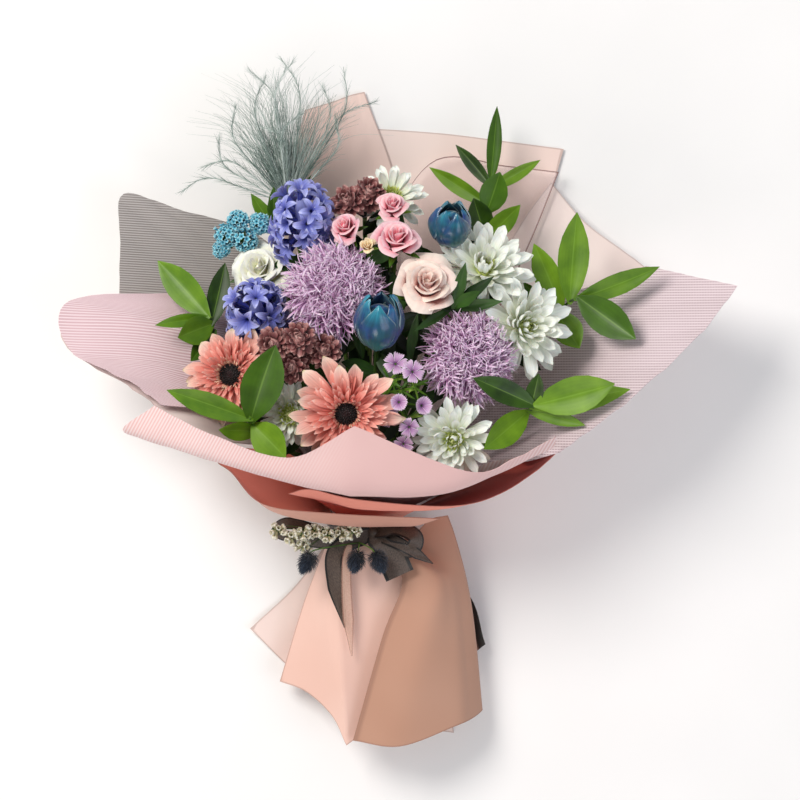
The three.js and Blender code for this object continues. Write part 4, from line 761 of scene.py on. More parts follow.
wrapper = {
    # The big back sheet: the skirt's back, the tie, and the two upper right corners. It lies on the surface.
    "back_paper": {
        "columns": [
            [(-139, -212, 9), (-95, -170, 8), waist(205, 1, 12), waist(205, 1), (-100, 20, 12),
             (-72, 246, 3)],
            [(-95, -255, 3), (-70, -185, 6), waist(235, 1, 12), waist(235, 1), (-60, 25, 3), (-40, 252, 2)],
            [(-40, -292, 1), (-35, -200, 4), waist(270, 1, 12), waist(270, 1), (-10, 30, 1), (34, 248, 1)],
            [(10, -304, 1), (5, -200, 5), waist(305, 1, 12), waist(305, 1), (50, 30, 2), (92, 241, 2)],
            [(50, -309, 5), (35, -190, 9), waist(332, 1, 12), waist(332, 1), (90, 25, 9), (152, 233, 5)],
        ],
    },
    # The tall flap at the upper left, over the back sheet.
    "left_paper": {
        "columns": [
            [waist(190, 0.94), (-128, 40, 30), (-110, 180, 14), (-88, 269, 9)],
            [waist(212, 0.94), (-92, 60, 14), (-80, 180, 9), (-62, 277, 7)],
            [waist(238, 0.94), (-50, 60, 7), (-40, 185, 6), (-46, 283, 6)],
            [waist(262, 0.94), (-8, 60, 6), (-1, 185, 5), (-33, 286, 6)],
        ],
    },
    # The pale sheet on the upper right.
    "right_paper": {
        "columns": [
            [waist(280, 0.94), (60, 70, 9), (110, 160, 9), (140, 202, 10)],
            [waist(299, 0.94), (95, 60, 13), (150, 130, 18), (172, 164, 20)],
            [waist(317, 0.94), (118, 40, 24), (180, 90, 42), (216, 130, 38)],
            [waist(334, 0.94), (122, 12, 42), (188, 52, 66), (250, 100, 70)],
        ],
    },
    # The clear film in front of the back sheet.
    "film": {
        "columns": [
            [waist(238, 0.885), (-22, 60, 12), (-18, 130, 12), (-13, 166, 13)],
            [waist(259, 0.885), (10, 60, 12), (22, 150, 13), (34, 223, 14)],
            [waist(280, 0.885), (50, 70, 14), (86, 150, 16), (98, 217, 15)],
            [waist(300, 0.885), (82, 66, 19), (118, 140, 21), (147, 211, 20)],
        ],
    },
    # The grey mesh wing at the upper left.
    "mesh_left_back": {
        "columns": [
            [waist(172, 0.88), (-130, 20, 54), (-205, 62, 72), (-256, 92, 78)],
            [waist(190, 0.88), (-135, 50, 42), (-205, 110, 55), (-256, 144, 62)],
            [waist(208, 0.88), (-122, 80, 30), (-190, 140, 42), (-254, 189, 50)],
            [waist(222, 0.88), (-98, 90, 23), (-142, 140, 32), (-202, 175, 38)],
            [waist(232, 0.88), (-74, 90, 18), (-104, 130, 26), (-142, 160, 28)],
        ],
    },
    # The lower left wing: striped mesh over a pink lining.
    "lining_left": {
        "columns": [
            [waist(124, 0.818), (-98, -50, 88), (-166, -36, 128), (-210, -19, 146)],
            [waist(140, 0.818), (-108, -34, 84), (-170, -16, 122), (-216, -8, 142)],
            [waist(155, 0.818), (-118, -14, 78), (-192, 4, 112), (-245, 13, 131)],
            [waist(170, 0.818), (-124, 6, 70), (-212, 34, 97), (-297, 44, 116)],
            [waist(185, 0.818), (-122, 28, 58), (-205, 60, 86), (-297, 70, 105)],
            [waist(198, 0.818), (-106, 50, 46), (-150, 72, 62), (-196, 90, 76)],
        ],
    },
    "mesh_left": {
        "columns": [
            [waist(140, 0.778), (-104, -30, 92), (-168, -10, 132), (-214, -4, 150)],
            [waist(155, 0.778), (-114, -10, 86), (-190, 10, 122), (-243, 17, 140)],
            [waist(170, 0.778), (-120, 10, 78), (-210, 40, 108), (-298, 46, 126)],
            [waist(185, 0.778), (-118, 35, 66), (-208, 70, 96), (-298, 90, 114)],
            [waist(198, 0.778), (-104, 60, 54), (-156, 88, 72), (-196, 98, 84)],
        ],
    },
    # The front cuff bulges below the blooms, and its middle corner stands up before them.
    "front_cuff": {
        "corners": [3],
        "columns": [
            [waist(165, 0.87), (-96, -56, 80), (-180, -40, 118), (-247, -29, 148), (-219, -5, 168)],
            [waist(140, 0.87), (-88, -72, 96), (-140, -60, 140), (-180, -49, 170), (-168, -30, 186)],
            [waist(118, 0.87), (-66, -84, 108), (-92, -76, 158), (-110, -68, 186), (-98, -51, 200)],
            [waist(95, 0.87), (-38, -89, 118), (-43, -84, 160), (-44, -80, 192), (-40, -23, 222)],
            [waist(72, 0.87), (2, -90, 114), (20, -86, 158), (38, -82, 184), (59, -63, 198)],
            [waist(48, 0.87), (42, -82, 104), (66, -74, 146), (86, -66, 168), (101, -52, 184)],
            [waist(26, 0.87), (68, -62, 90), (104, -52, 128), (134, -44, 152), (140, -32, 164)],
        ],
    },
    # The right-hand mesh wing, round to the front.
    "mesh_right": {
        "corners": [1],
        "columns": [
            [waist(316, 0.885), (122, 72, 48), (180, 106, 72), (224, 122, 84)],
            [waist(334, 0.885), (130, 50, 62), (220, 90, 92), (305, 103, 112)],
            [waist(350, 0.885), (134, 20, 76), (205, 45, 116), (268, 57, 130)],
            [waist(5, 0.885), (130, -12, 88), (175, 4, 132), (206, 1, 156)],
            [waist(18, 0.885), (112, -34, 92), (146, -30, 140), (160, -34, 160)],
            [waist(19, 0.89), (92, -58, 84), (115, -55, 120), (143, -47, 147)],
        ],
    },
    # The two outer sheets flare below the cuff and show their coral side.
    "collar_left": {
        "columns": [
            [waist(205, 1.068, 0.8), (-74, -60, 40), (-106, -48, 58), (-140, -44, 74)],
            [waist(185, 1.068, 0.8), (-90, -72, 58), (-130, -60, 80), (-166, -54, 94)],
            [waist(160, 1.068, 0.8), (-90, -94, 68), (-124, -92, 90), (-152, -66, 108)],
            [waist(135, 1.068, 0.8), (-76, -105, 76), (-104, -105, 96), (-124, -94, 114)],
            [waist(110, 1.068, 0.8), (-44, -114, 80), (-54, -113, 100), (-64, -102, 122)],
            [waist(80, 1.068, 0.8), (-2, -114, 80), (14, -114, 100), (36, -107, 120)],
        ],
    },
    "collar_right": {
        "columns": [
            [waist(130, 1.006), (-76, -91, 86), (-89, -87, 118), (-100, -84, 142)],
            [waist(114, 1.006), (-54, -97, 93), (-66, -90, 128), (-80, -80, 150)],
            [waist(95, 1.006), (-32, -99, 98), (-34, -98, 130), (-38, -89, 152)],
            [waist(65, 1.006), (14, -97, 96), (30, -99, 124), (46, -95, 146)],
            [waist(42, 1.006), (54, -86, 90), (73, -88, 118), (94, -82, 142)],
            [waist(20, 1.006), (82, -68, 76), (113, -63, 110), (138, -50, 140)],
            [waist(352, 1.006), (84, -42, 54), (116, -40, 88), (140, -38, 118)],
        ],
    },
    # The skirt below the tie.
    "skirt_left": {
        "corners": [3],
        "columns": [
            [(-111, -260, 24), (-88, -185, 30), waist(185, 0.99, 13), waist(185, 0.99, 1.2)],
            [(-86, -269, 36), (-76, -190, 44), waist(160, 0.99, 13), waist(160, 0.99, 1.2)],
            [(-62, -290, 54), (-66, -195, 56), waist(138, 0.99, 13), waist(138, 0.99, 1.2)],
            [(-49, -316, 64), (-56, -200, 62), waist(118, 0.99, 13), waist(118, 0.99, 1.2)],
            [(-24, -300, 54), (-20, -200, 56), waist(88, 0.97, 13), waist(88, 0.97, 1.2)],
            [(10, -300, 50), (14, -200, 52), waist(58, 0.94, 13), waist(58, 0.94, 1.2)],
        ],
    },
    "skirt_right": {
        "columns": [
            [(-43, -311, 71), (-16, -216, 70), (2, -163, 66), waist(70, 0.99, 13), waist(70, 0.99, 2)],
            [(0, -316, 76), (22, -216, 76), (30, -163, 70), waist(52, 0.99, 14), waist(52, 0.99, 4)],
            [(50, -299, 60), (48, -210, 60), (40, -160, 60), waist(30, 0.99, 24), waist(30, 0.99, 17)],
            [(66, -293, 44), (58, -205, 48), (50, -160, 50), (26, -134, 50), (10, -126, 48)],
            [(74, -288, 32), (67, -210, 38), (59, -165, 42), (42, -122, 46), (27, -110, 47)],
            [(76, -286, 28), (69, -212, 32), (62, -168, 36), (51, -126, 41), (44, -106, 43)],
        ],
    },
    # The sheet under the right of the skirt, coloured dark as painted shade.
    "skirt_under": {
        "columns": [
            [(79, -226, 20), (60, -175, 27), waist(358, 0.652, 13), waist(358, 0.652, 1.2)],
            [(60, -240, 14), (40, -185, 19), waist(348, 0.652, 13), waist(348, 0.652, 1.2)],
            [(36, -245, 11), (30, -185, 17), waist(338, 0.652, 13), waist(338, 0.652, 1.2)],
        ],
    },
}

sheetThick, sheetGround, sheetSteps = 0.5, 2.7, 8  # mm, the lowest height in mm, samples for each stretch
papers = {
    "back_paper": {"finish": "backPaper", "slot": "peach_paper", "ground": 3, "pleat": 0.5},
    "left_paper": {"finish": "flapPaper", "slot": "peach_paper", "pleat": 0.5},
    "right_paper": {"finish": "palePaper", "slot": "pale_paper"},
    "film": {"finish": "film", "slot": "film", "pleat": 0.6},
    "mesh_left_back": {"finish": "greyNet", "slot": "grey_mesh", "net": True, "pleat": 1.4},
    "lining_left": {"finish": "palePaper", "slot": "pink_paper"},
    "mesh_left": {"finish": "pinkNet", "slot": "grey_mesh", "net": True, "pleat": 1.4},
    "front_cuff": {"finish": "pinkWrap", "slot": "pink_paper", "show": [1, 1, 0.55, 0, 0, 0.25, 1]},
    "mesh_right": {"finish": "gridNet", "slot": "grey_mesh", "net": True, "pleat": 1.4},
    "collar_left": {"finish": "peachPaper", "slot": "coral_paper", "inside": "coralPaper"},
    "collar_right": {"finish": "coralPaper", "slot": "coral_paper", "inside": "coralInsidePaintedShade"},
    "skirt_left": {"finish": "pinkPaper", "slot": "peach_paper", "pleat": 0.0},
    # skirt_right's fold value widens the painted shade along its left edge into a broad dark band, the shadow
    # of its folded edge.
    "skirt_right": {"finish": "skirtPaperPaintedShade", "slot": "peach_paper", "pleat": 0.0, "fold": 0.25},
    "skirt_under": {"finish": "underPaperPaintedShade", "slot": "peach_paper", "show": [1, 0.3, 0], "pleat": 0.0},
}


def sheetGrid(columns, corners, fine, ground):
    lines = smoothLine(np.array(columns, float).swapaxes(0, 1), fine)
    cuts = [0] + corners + [len(columns) - 1]
    parts = []
    for first, last in zip(cuts, cuts[1:]):
        part = smoothLine(lines[:, first:last + 1].swapaxes(0, 1), fine)
        parts.append(part[1:] if parts else part)
    grid = np.concatenate(parts).swapaxes(0, 1)
    grid[..., 2] = np.maximum(grid[..., 2], ground)
    return grid


# Adds a line of points just inside each rim, so that the thin line of painted shade along the edge stays
# thin.
def rimmed(grid, inset=1.6):
    for axis in (0, 1):
        lines = grid.swapaxes(0, axis)
        near = [a + (b - a) * inset / max(np.linalg.norm(b - a, axis=1).mean(), 2 * inset)
                for a, b in ((lines[0], lines[1]), (lines[-1], lines[-2]))]
        lines = np.concatenate([lines[:1], near[0][None], lines[1:-1], near[1][None], lines[-1:]])
        grid = lines.swapaxes(0, axis)
    return grid


# Soft pleats that start a little above the tie and grow towards the rim.
def pleated(grid, depth, across, ground):
    normal = normalsOf(grid)
    fromTie = np.clip((np.abs(grid[..., 1] - tie["y"]) - 22) / 90, 0, 1)
    u = np.linspace(0, across, grid.shape[1])[None, :]
    v = np.linspace(0, 1, grid.shape[0])[:, None]
    wave = np.sin(turn * 1.6 * u + 2.2 * v) + 0.5 * np.sin(turn * 3.1 * u - 4 * v + 1)
    out = grid + normal * (wave * fromTie * depth / 1.5)[..., None]
    out[..., 2] = np.maximum(out[..., 2], ground)
    return out


def flatSize(grid):
    across = np.linalg.norm(np.diff(grid, axis=1), axis=2).sum(1)
    along = np.linalg.norm(np.diff(grid, axis=0), axis=2).sum(0)
    du, dv = np.gradient(grid, axis=0), np.gradient(grid, axis=1)
    area = np.linalg.norm(np.cross(du, dv), axis=2)[:-1, :-1].sum()
    return float(across.max()) * mm, float(along.max()) * mm, float(area) * mm * mm


for name, look in papers.items():
    part = wrapper[name]
    ground = look.get("ground", sheetGround)
    grid = sheetGrid(part["columns"], part.get("corners", []), sheetSteps, ground)
    grid = pleated(grid, look.get("pleat", 1.0), len(part["columns"]) - 1, ground)
    show = np.ones(grid.shape[:2])
    if not look.get("net") and "show" not in look:
        grid = rimmed(grid)
        # show is each point's distance from the nearest edge, where the paper finish paints a thin line of
        # shade; a fold rate below 1 widens that painted shade along the first column.
        reach = [(grid[0], 1), (grid[-1], 1), (grid[:, 0], look.get("fold", 1)), (grid[:, -1], 1)]
        show = np.min([rate * np.linalg.norm(grid[:, :, None] - line, axis=3).min(2) for line, rate in reach],
                      0)
    if "show" in look:
        share = np.linspace(0, len(look["show"]) - 1, grid.shape[1])
        show = np.tile(np.interp(share, range(len(look["show"])), look["show"]), (grid.shape[0], 1))
    shape = slab(grid, sheetThick, show)
    piece = ready(meshObject(name + "_sheet", [shape], finishes[look["finish"]], Matrix(), "sheetUv"),
                  name)
    if "inside" in look:
        piece.data.materials.append(finishes[look["inside"]])
        half = (grid.shape[0] - 1) * (grid.shape[1] - 1)
        sides = np.zeros(len(piece.data.polygons), int)
        sides[:half] = 1
        piece.data.polygons.foreach_set("material_index", sides)
    if look.get("net"):
        width, length, area = flatSize(grid)
        print("net", name, round(width, 3), round(length, 3), round(area, 4))
print("wrapper", len(papers))


# Daisy-like blooms.
rayOutline = [(0, 0.34), (0.2, 0.62), (0.55, 0.98), (0.8, 0.95), (0.93, 0.62), (1, 0.12)]
mumOutline = [(0, 0.45), (0.35, 0.82), (0.7, 1), (0.88, 0.8), (1, 0.12)]
gerberas = [
    {"name": "gerbera_front", "at": (-47.7, -11.7, 186), "to": (0, -0.16, 1), "spin": 0.3, "outer": 54},
    {"name": "gerbera_left", "at": (-151, 22.5, 142), "to": (-0.34, 0.05, 1), "spin": 1.0, "outer": 46},
]


leafOutline = [(0, 0.1), (0.08, 0.34), (0.22, 0.74), (0.4, 0.98), (0.56, 1), (0.72, 0.82), (0.87, 0.46),
               (1, 0.02)]
slimOutline = [(0, 0.2), (0.2, 0.6), (0.5, 1), (0.78, 0.62), (1, 0.03)]


def moved(points, matrix):
    m = np.array(matrix)
    return np.asarray(points) @ m[:3, :3].T + m[:3, 3]


def gerbera(look):
    place = facing(look["at"], look["to"], look["spin"])
    outer = look["outer"]
    wide = gridSet("ray", [
        bladeGrid(outer - 12 + 4 * chance.random(), 13 + 2 * chance.random(), rayOutline, curl=curl,
                  gather=1.5, cup=cup,
                  wave=0.5, waves=0.8, phase=7 * curl, twist=twist, sway=0.3 * twist, rows=11, cols=7)
        for curl, cup, twist in [(-0.15, 0.3, 0.2), (0.2, 0.55, -0.35), (0.7, 0.6, 0.3), (-0.25, 0.2, -0.2),
                                 (0.4, 0.4, 0.5)]
    ], 0.7)
    short = gridSet("shortRay", [
        bladeGrid(25, 5.4, mumOutline, curl=curl, cup=0.5, wave=0.2, waves=1, phase=9 * curl, twist=curl,
                  rows=7, cols=5)
        for curl in (-0.9, -0.5, -0.2, 0.15, 0.4)], 0.6)
    tubes = gridSet("tube", [bladeGrid(9, 1.8, mumOutline, curl=curl, cup=0.2, rows=4, cols=3)
                             for curl in (-0.9, -0.4, 0.1)], 0.6)
    ring = outer / 54
    rings = [
        (wide, "gerberaRay", 13, 0.0, 8, -1.6, -0.02, 1, 0.1),
        (wide, "gerberaRay", 7, 0.5, 8, -0.4, 0.2, 0.95, 0.2),
        (short, "gerberaInner", 38, 0.2, 11, 0.6, 0.26, 1.18 * ring, 0.12),
        (short, "gerberaInner", 38, 0.7, 10.6, 1.4, 0.44, 1.06 * ring, 0.14),
        (short, "gerberaInner", 34, 0.1, 10.2, 2.0, 0.64, 0.92 * ring, 0.15),
        (short, "gerberaInner", 32, 0.5, 9.8, 2.4, 0.86, 0.74 * ring, 0.15),
        (short, "gerberaInner", 28, 0.3, 9.6, 2.6, 1.1, 0.5 * ring, 0.15),
        (tubes, "gerberaPollen", 60, 0.0, 10.4, 2.6, 0.75, 0.95, 0.14),
        (tubes, "gerberaPollen", 52, 0.5, 9.2, 3.2, 1.15, 0.8, 0.14),
    ]
    parts = [grown("whorl", {
        "Shapes": shapes, "Material": finishes[finish], "Count": count, "Turn": turn / count, "Start": start,
        "Radius": float(out), "Height": height, "Rise": rise, "Size": float(size), "Wobble": wobble}, place)
        for shapes, finish, count, start, out, height, rise, size, wobble in rings]
    parts.append(lathe([(0, -9), (6, -9), (12, -2), (11, 2.2), (0, 2.4)], finishes["gerberaInner"], place))
    ready(joined(look["name"] + "_petals", parts), look["name"])
    bud = gridSet("eyeFloret", [bladeGrid(3.2, 1.5, mumOutline, curl=0.4, cup=0.3, rows=3, cols=3)], 0.8)
    eye = grown("dome", {"Shapes": bud, "Material": finishes["eye"], "Count": 150, "Radius": 8.6,
                         "Flat": 0.36,
                         "Widest": 1.6, "Wobble": 0.12}, place @ Matrix.Translation((0, 0, 2.8)))
    cap = lathe([(0, 2.5), (8.4, 2.6), (7.4, 4.4), (4, 5.8), (0, 6.0)], finishes["eye"], place)
    ready(joined(look["name"] + "_disc", [eye, cap]), look["name"] + "_eye")
    carry(place, 9)


# A body turned about +Z from [radius, height] pairs.
def lathe(profile, material, place, sides=24):
    angles = np.arange(sides) / sides * turn
    rings = [np.stack([r * np.cos(angles), r * np.sin(angles), np.full(sides, float(z))], -1)
             for r, z in profile]
    verts = np.concatenate(rings)
    number = np.arange(len(verts)).reshape(len(profile), sides)
    number = np.concatenate([number, number[:, :1]], 1)
    uv = np.stack([np.tile(angles / turn, len(profile)),
                   np.repeat(np.linspace(0, 1, len(profile)), sides)], -1)
    piece = meshObject("turned", [{"verts": verts, "faces": quads(number)[:, ::-1], "uv": uv, "tone": 0.5}],
                       material, place)
    bpy.context.view_layer.objects.active = piece
    mesh = piece.data
    work = bmesh.new()
    work.from_mesh(mesh)
    bmesh.ops.remove_doubles(work, verts=work.verts, dist=1e-6)
    bmesh.ops.dissolve_degenerate(work, edges=work.edges, dist=1e-7)
    bmesh.ops.recalc_face_normals(work, faces=work.faces)
    work.to_mesh(mesh)
    work.free()
    return piece


mums = [
    {"name": "white_mum_front", "at": (48, -35, 166), "to": (-0.14, -0.2, 1), "outer": 36, "start": 0.0,
     "rings": 6},
    {"name": "white_mum_right", "at": (112, 66, 140), "to": (0.42, 0.05, 1), "outer": 44, "start": 0.4,
     "rings": 6},
    {"name": "white_mum_upper", "at": (76, 118, 132), "to": (0.1, 0.5, 1), "outer": 44, "start": 0.2,
     "rings": 6},
    {"name": "white_mum_left", "at": (-99, -13, 140), "to": (-0.1, 0, 1), "outer": 29, "start": 0.0,
     "rings": 5},
    {"name": "white_mum_back", "at": (-8, 183, 92), "to": (0, 0.4, 1), "outer": 31, "start": 0.0, "rings": 3},
]


def mum(look):
    place = facing(look["at"], look["to"])
    long = look["outer"] - 7
    bends = [(0.3, 0.5), (0.1, 0.4), (0.55, 0.6), (-0.2, 0.45), (0.4, 0.7)]
    outerSet = gridSet("mumPetal", [
        bladeGrid(long, long * 0.31, mumOutline, curl=curl, gather=1.3, cup=cup, wave=0.1, waves=1,
                  phase=5 * curl, twist=0.3 * curl, rows=9, cols=7) for curl, cup in bends], 0.8)
    innerSet = gridSet("mumInner", [
        bladeGrid(long, long * 0.33, mumOutline, curl=curl + 0.6, gather=1.2, cup=cup, rows=8, cols=5)
        for curl, cup in bends], 0.8)
    rings = [(outerSet, 14, -3.6, -0.03, 1.0, 9), (outerSet, 13, -2.2, 0.17, 0.98, 8.5),
             (innerSet, 12, -0.8, 0.34, 0.88, 8),
             (innerSet, 11, 0.6, 0.6, 0.76, 7), (innerSet, 10, 2.0, 0.85, 0.6, 5.5),
             (innerSet, 7, 3.2, 1.1, 0.44, 4)]
    parts = [grown("whorl", {
        "Shapes": shapes, "Material": finishes["white"], "Count": count, "Turn": turn / count,
        "Start": look["start"] + k * 0.5, "Radius": float(out), "Height": height, "Rise": rise, "Size": size,
        "Wobble": 0.1}, place)
        for k, (shapes, count, height, rise, size, out) in enumerate(rings[:look["rings"]])]
    bud = gridSet("mumEye", [bladeGrid(8, 2.2, mumOutline, curl=1.3, cup=0.4, rows=5, cols=3)], 0.7)
    parts.append(grown("dome", {"Shapes": bud, "Material": finishes["limeEye"], "Count": 46, "Radius": 5.0,
                                "Flat": 0.6,
                                "Widest": 1.5, "Lean": -0.2}, place @ Matrix.Translation((0, 0, 2.5))))
    parts.append(lathe([(0, -8), (5, -8), (10, -1), (7, 4.6), (0, 5)], finishes["limeEye"], place))
    ready(joined(look["name"] + "_petals", parts), look["name"])
    carry(place, 8)


pompons = [
    {"name": "lavender_left", "at": (-58, 97, 146), "to": (-0.05, 0.3, 1), "radius": 27, "floret": 26,
     "flat": 0.6},
    {"name": "lavender_right", "at": (61, 38, 150), "to": (0.22, 0.05, 1), "radius": 25, "floret": 24,
     "flat": 0.62},
]


def pompon(look):
    place = facing(look["at"], look["to"])
    radius, long, flat = look["radius"], look["floret"], look["flat"]
    slim = [(0, 0.6), (0.5, 0.7), (0.85, 1), (1, 0.25)]
    outerSet = gridSet("pomponFloret", [
        bladeGrid(long * 0.92, 1.6, slim, curl=curl, gather=1.8, cup=0.5, twist=1.5 * curl, sway=sway, rows=7,
                  cols=3)
        for curl, sway in [(1.5, 0.15), (0.7, -0.3), (-1.1, 0.25), (1.1, -0.15), (2.1, 0.35), (-0.6, 0.0),
                           (0.4, 0.4)]], 0.6)
    innerSet = gridSet("pomponInner", [
        bladeGrid(long * 0.76, 1.5, slim, curl=curl, gather=1.6, cup=0.5, twist=curl, sway=sway, rows=6,
                  cols=3)
        for curl, sway in [(1.2, 0.3), (-1.1, -0.3), (0.5, 0.4), (-0.6, 0.15), (1.7, -0.4), (-1.5, 0.3)]],
        0.6)
    finish, pale = finishes["lavender"], finishes["lavenderPale"]
    layers = [
        (outerSet, finish, 520, radius * 0.9, 1.0, 1.98, 0.26, 1.0),
        (outerSet, pale, 430, radius * 0.9, 0.45, 1.2, 0.28, 0.94),
        (innerSet, pale, 430, radius * 0.92, 0.0, 0.85, 0.3, 1.0),
    ]
    parts = [grown("dome", {
        "Shapes": shapes, "Material": material, "Count": count, "Radius": out, "Flat": flat, "From": first,
        "Widest": last, "Wobble": wobble, "Size": size, "Rim size": size * 1.08, "Size spread": 0.16}, place)
        for shapes, material, count, out, first, last, wobble, size in layers]
    parts.append(lathe([(0, -radius * 0.62), (radius * 0.8, -radius * 0.4), (radius, 0),
                        (radius * 0.8, radius * 0.4), (0, radius * 0.62)], finish, place))
    ready(joined(look["name"] + "_florets", parts), look["name"])
    carry(place, radius * 1.12 * flat)


# Cupped blooms.
tulips = [
    {"name": "tulip_lower", "at": (-20, 51, 168), "to": (0.06, 0.85, 0.62), "spin": 0.4, "length": 50,
     "radius": 20},
    {"name": "tulip_upper", "at": (44, 143, 132), "to": (0.06, 0.7, 0.6), "spin": 0.9, "length": 40,
     "radius": 17},
]


def tulip(look):
    place = facing(look["at"], look["to"], look["spin"])
    radius, length = look["radius"], look["length"]
    up = np.linspace(0, 1, 12)[:, None]
    side = np.linspace(-1, 1, 11)[None, :]
    shapes = []
    for k in range(8):
        lean = -0.1 if k > 5 else 0.1 if k % 2 == 0 else 0.0
        taper = np.where(up > 0.6, (np.clip(1.02 - up, 0, 1) / 0.42) ** 0.75, 1)
        width = np.maximum(np.sin(np.minimum(1, up * 1.25 + 0.22) * math.pi / 2) * taper, 0.03)
        angle = k * turn / 6 + side * 1.02 * width
        bulge = np.sin(math.pi * np.minimum(0.16 + up * 0.72, 1)) ** 0.8 + 0.05 * (up > 0.9)
        ripple = 0.5 * np.sin(7 * up + 4 * side + k) * np.abs(side)
        r = radius * (bulge * (1 + lean) + 0.03) - 1.0 * np.abs(side) + ripple + 0.9 * (1 - np.abs(side)) ** 3
        z = up * length * (1 - 0.03 * (k % 3)) - 1.2 * side ** 2 * up
        grid = np.stack([r * np.cos(angle), r * np.sin(angle), z + 0 * angle], -1)
        shapes.append(lens(grid, 1.1, chance.random()))
    petals = meshObject("tulipPetals", shapes, finishes["tulip"], place)
    profile = [(0, -2), (radius * 0.55, 0.5), (radius * 0.78, length * 0.4), (radius * 0.48, length * 0.72),
               (0, length * 0.8)]
    core = lathe(profile, finishes["tulip"], place)
    ready(joined(look["name"] + "_petals", [petals, core]), look["name"])
    carry(place, 2)


roses = [
    {"name": "rose_blush", "finish": "blush", "slot": "blush_petal", "at": (24, 105, 174),
     "to": (0.12, 0.4, 1), "spin": 0.4, "radius": 29, "petals": 17, "open": 1.0, "ruffle": 1.2},
    {"name": "rose_pink_right", "finish": "pink", "slot": "rose_petal", "at": (-3, 146, 162),
     "to": (0.05, 0.7, 1), "spin": 0.2, "radius": 22, "petals": 15, "open": 0.8, "ruffle": 0.6},
    {"name": "rose_pink_left", "finish": "pink", "slot": "rose_petal", "at": (-50, 156, 140),
     "to": (-0.35, 0.6, 1), "spin": 1.0, "radius": 17, "petals": 13, "open": 0.75, "ruffle": 0.5},
    {"name": "rose_pink_top", "finish": "pink", "slot": "rose_petal", "at": (-7, 176, 134), "to": (0, 0.7, 1),
     "spin": 0.7, "radius": 16, "petals": 13, "open": 0.75, "ruffle": 0.5},
    {"name": "rose_peach_bud", "finish": "peach", "slot": "peach_petal", "at": (-29, 138, 166),
     "to": (-0.1, 0.5, 1), "spin": 0.7, "radius": 9, "petals": 9, "open": 0.5, "ruffle": 0.5, "calyx": 3},
    {"name": "rose_cream", "finish": "cream", "slot": "cream_petal", "at": (-128, 120, 100),
     "to": (-0.2, 0.4, 1), "spin": 0.3, "radius": 28, "petals": 20, "open": 1.0, "ruffle": 1.6},
]


# Cupped petals stand round a closed bud, each a golden angle on from the last, and their rims roll back.
def rose(look):
    place = facing(look["at"], look["to"], look["spin"])
    radius, count, openness = look["radius"], look["petals"], look["open"]
    up = np.linspace(0, 1, 11)[:, None]
    side = np.linspace(-1, 1, 13)[None, :]
    shapes = []
    for k in range(count):
        t = k / (count - 1)
        jitter = chance.standard_normal(5) * 0.4
        start = k * golden + 0.2 * jitter[0]
        half = (1.75 - 0.8 * t) * (1 + 0.08 * jitter[1])
        rim = np.clip((up - 0.7) / 0.3, 0, 1)
        lip = rim ** 2 * radius * (0.02 + 0.2 * t) * (1 + 0.5 * jitter[4] + 0.25 * np.cos(3 * side + k))
        crown = 1 - 0.24 * np.abs(side) ** 2.6 + 0.05 * t * np.exp(-(side / 0.16) ** 2)
        foot, top = radius * (0.06 + 0.16 * t), radius * (0.12 + (0.42 + 0.34 * openness) * t ** 1.1)
        wave = look["ruffle"] * np.sin(3.7 * side + 2.1 * k) * rim * (0.2 + t)
        lean = (0.06 + 0.07 * jitter[2]) * radius * side * (0.3 + 0.7 * up)
        r = foot + (top - foot) * up ** (1.1 - 0.55 * t) + lip + lean + wave
        swell = np.sin(np.minimum(1, 0.3 + up * 1.1) * math.pi / 2)
        angle = start + side * half * swell * (1 - 0.25 * rim ** 2)
        height = radius * (0.5 - (0.2 + 0.4 * openness) * t ** 1.3 + 0.07 * jitter[3])
        z = -0.75 * radius + (height + 0.75 * radius) * up * crown - lip * (0.3 + 0.7 * t) + 0.5 * wave
        shapes.append(lens(np.stack([r * np.cos(angle), r * np.sin(angle), z + 0 * angle], -1), 0.7,
                           chance.random()))
    petals = meshObject("rosePetals", shapes, finishes[look["finish"]], place)
    core = lathe([(0, -radius * 0.8), (radius * 0.3, -radius * 0.7), (radius * 0.2, -radius * 0.1),
                  (0, radius * 0.2)],
                 finishes[look["finish"]], place)
    sepals = [lens(moved(bladeGrid(radius * 0.95, radius * 0.3, slimOutline, curl=-0.5, rows=7, cols=5),
                         Matrix.Rotation(n * turn / 5 + 0.5, 4, "Z")
                         @ Matrix.Translation((radius * 0.2, 0, -radius * 0.75))
                         @ Matrix.Rotation(-0.35, 4, "Y")), 0.7, chance.random()) for n in range(5)]
    cup = meshObject("roseSepals", sepals, finishes["leaf"], place)
    ready(joined(look["name"] + "_petals", [petals, core, cup]), look["name"])
    carry(place, radius * 0.75, look.get("calyx", 4.5))


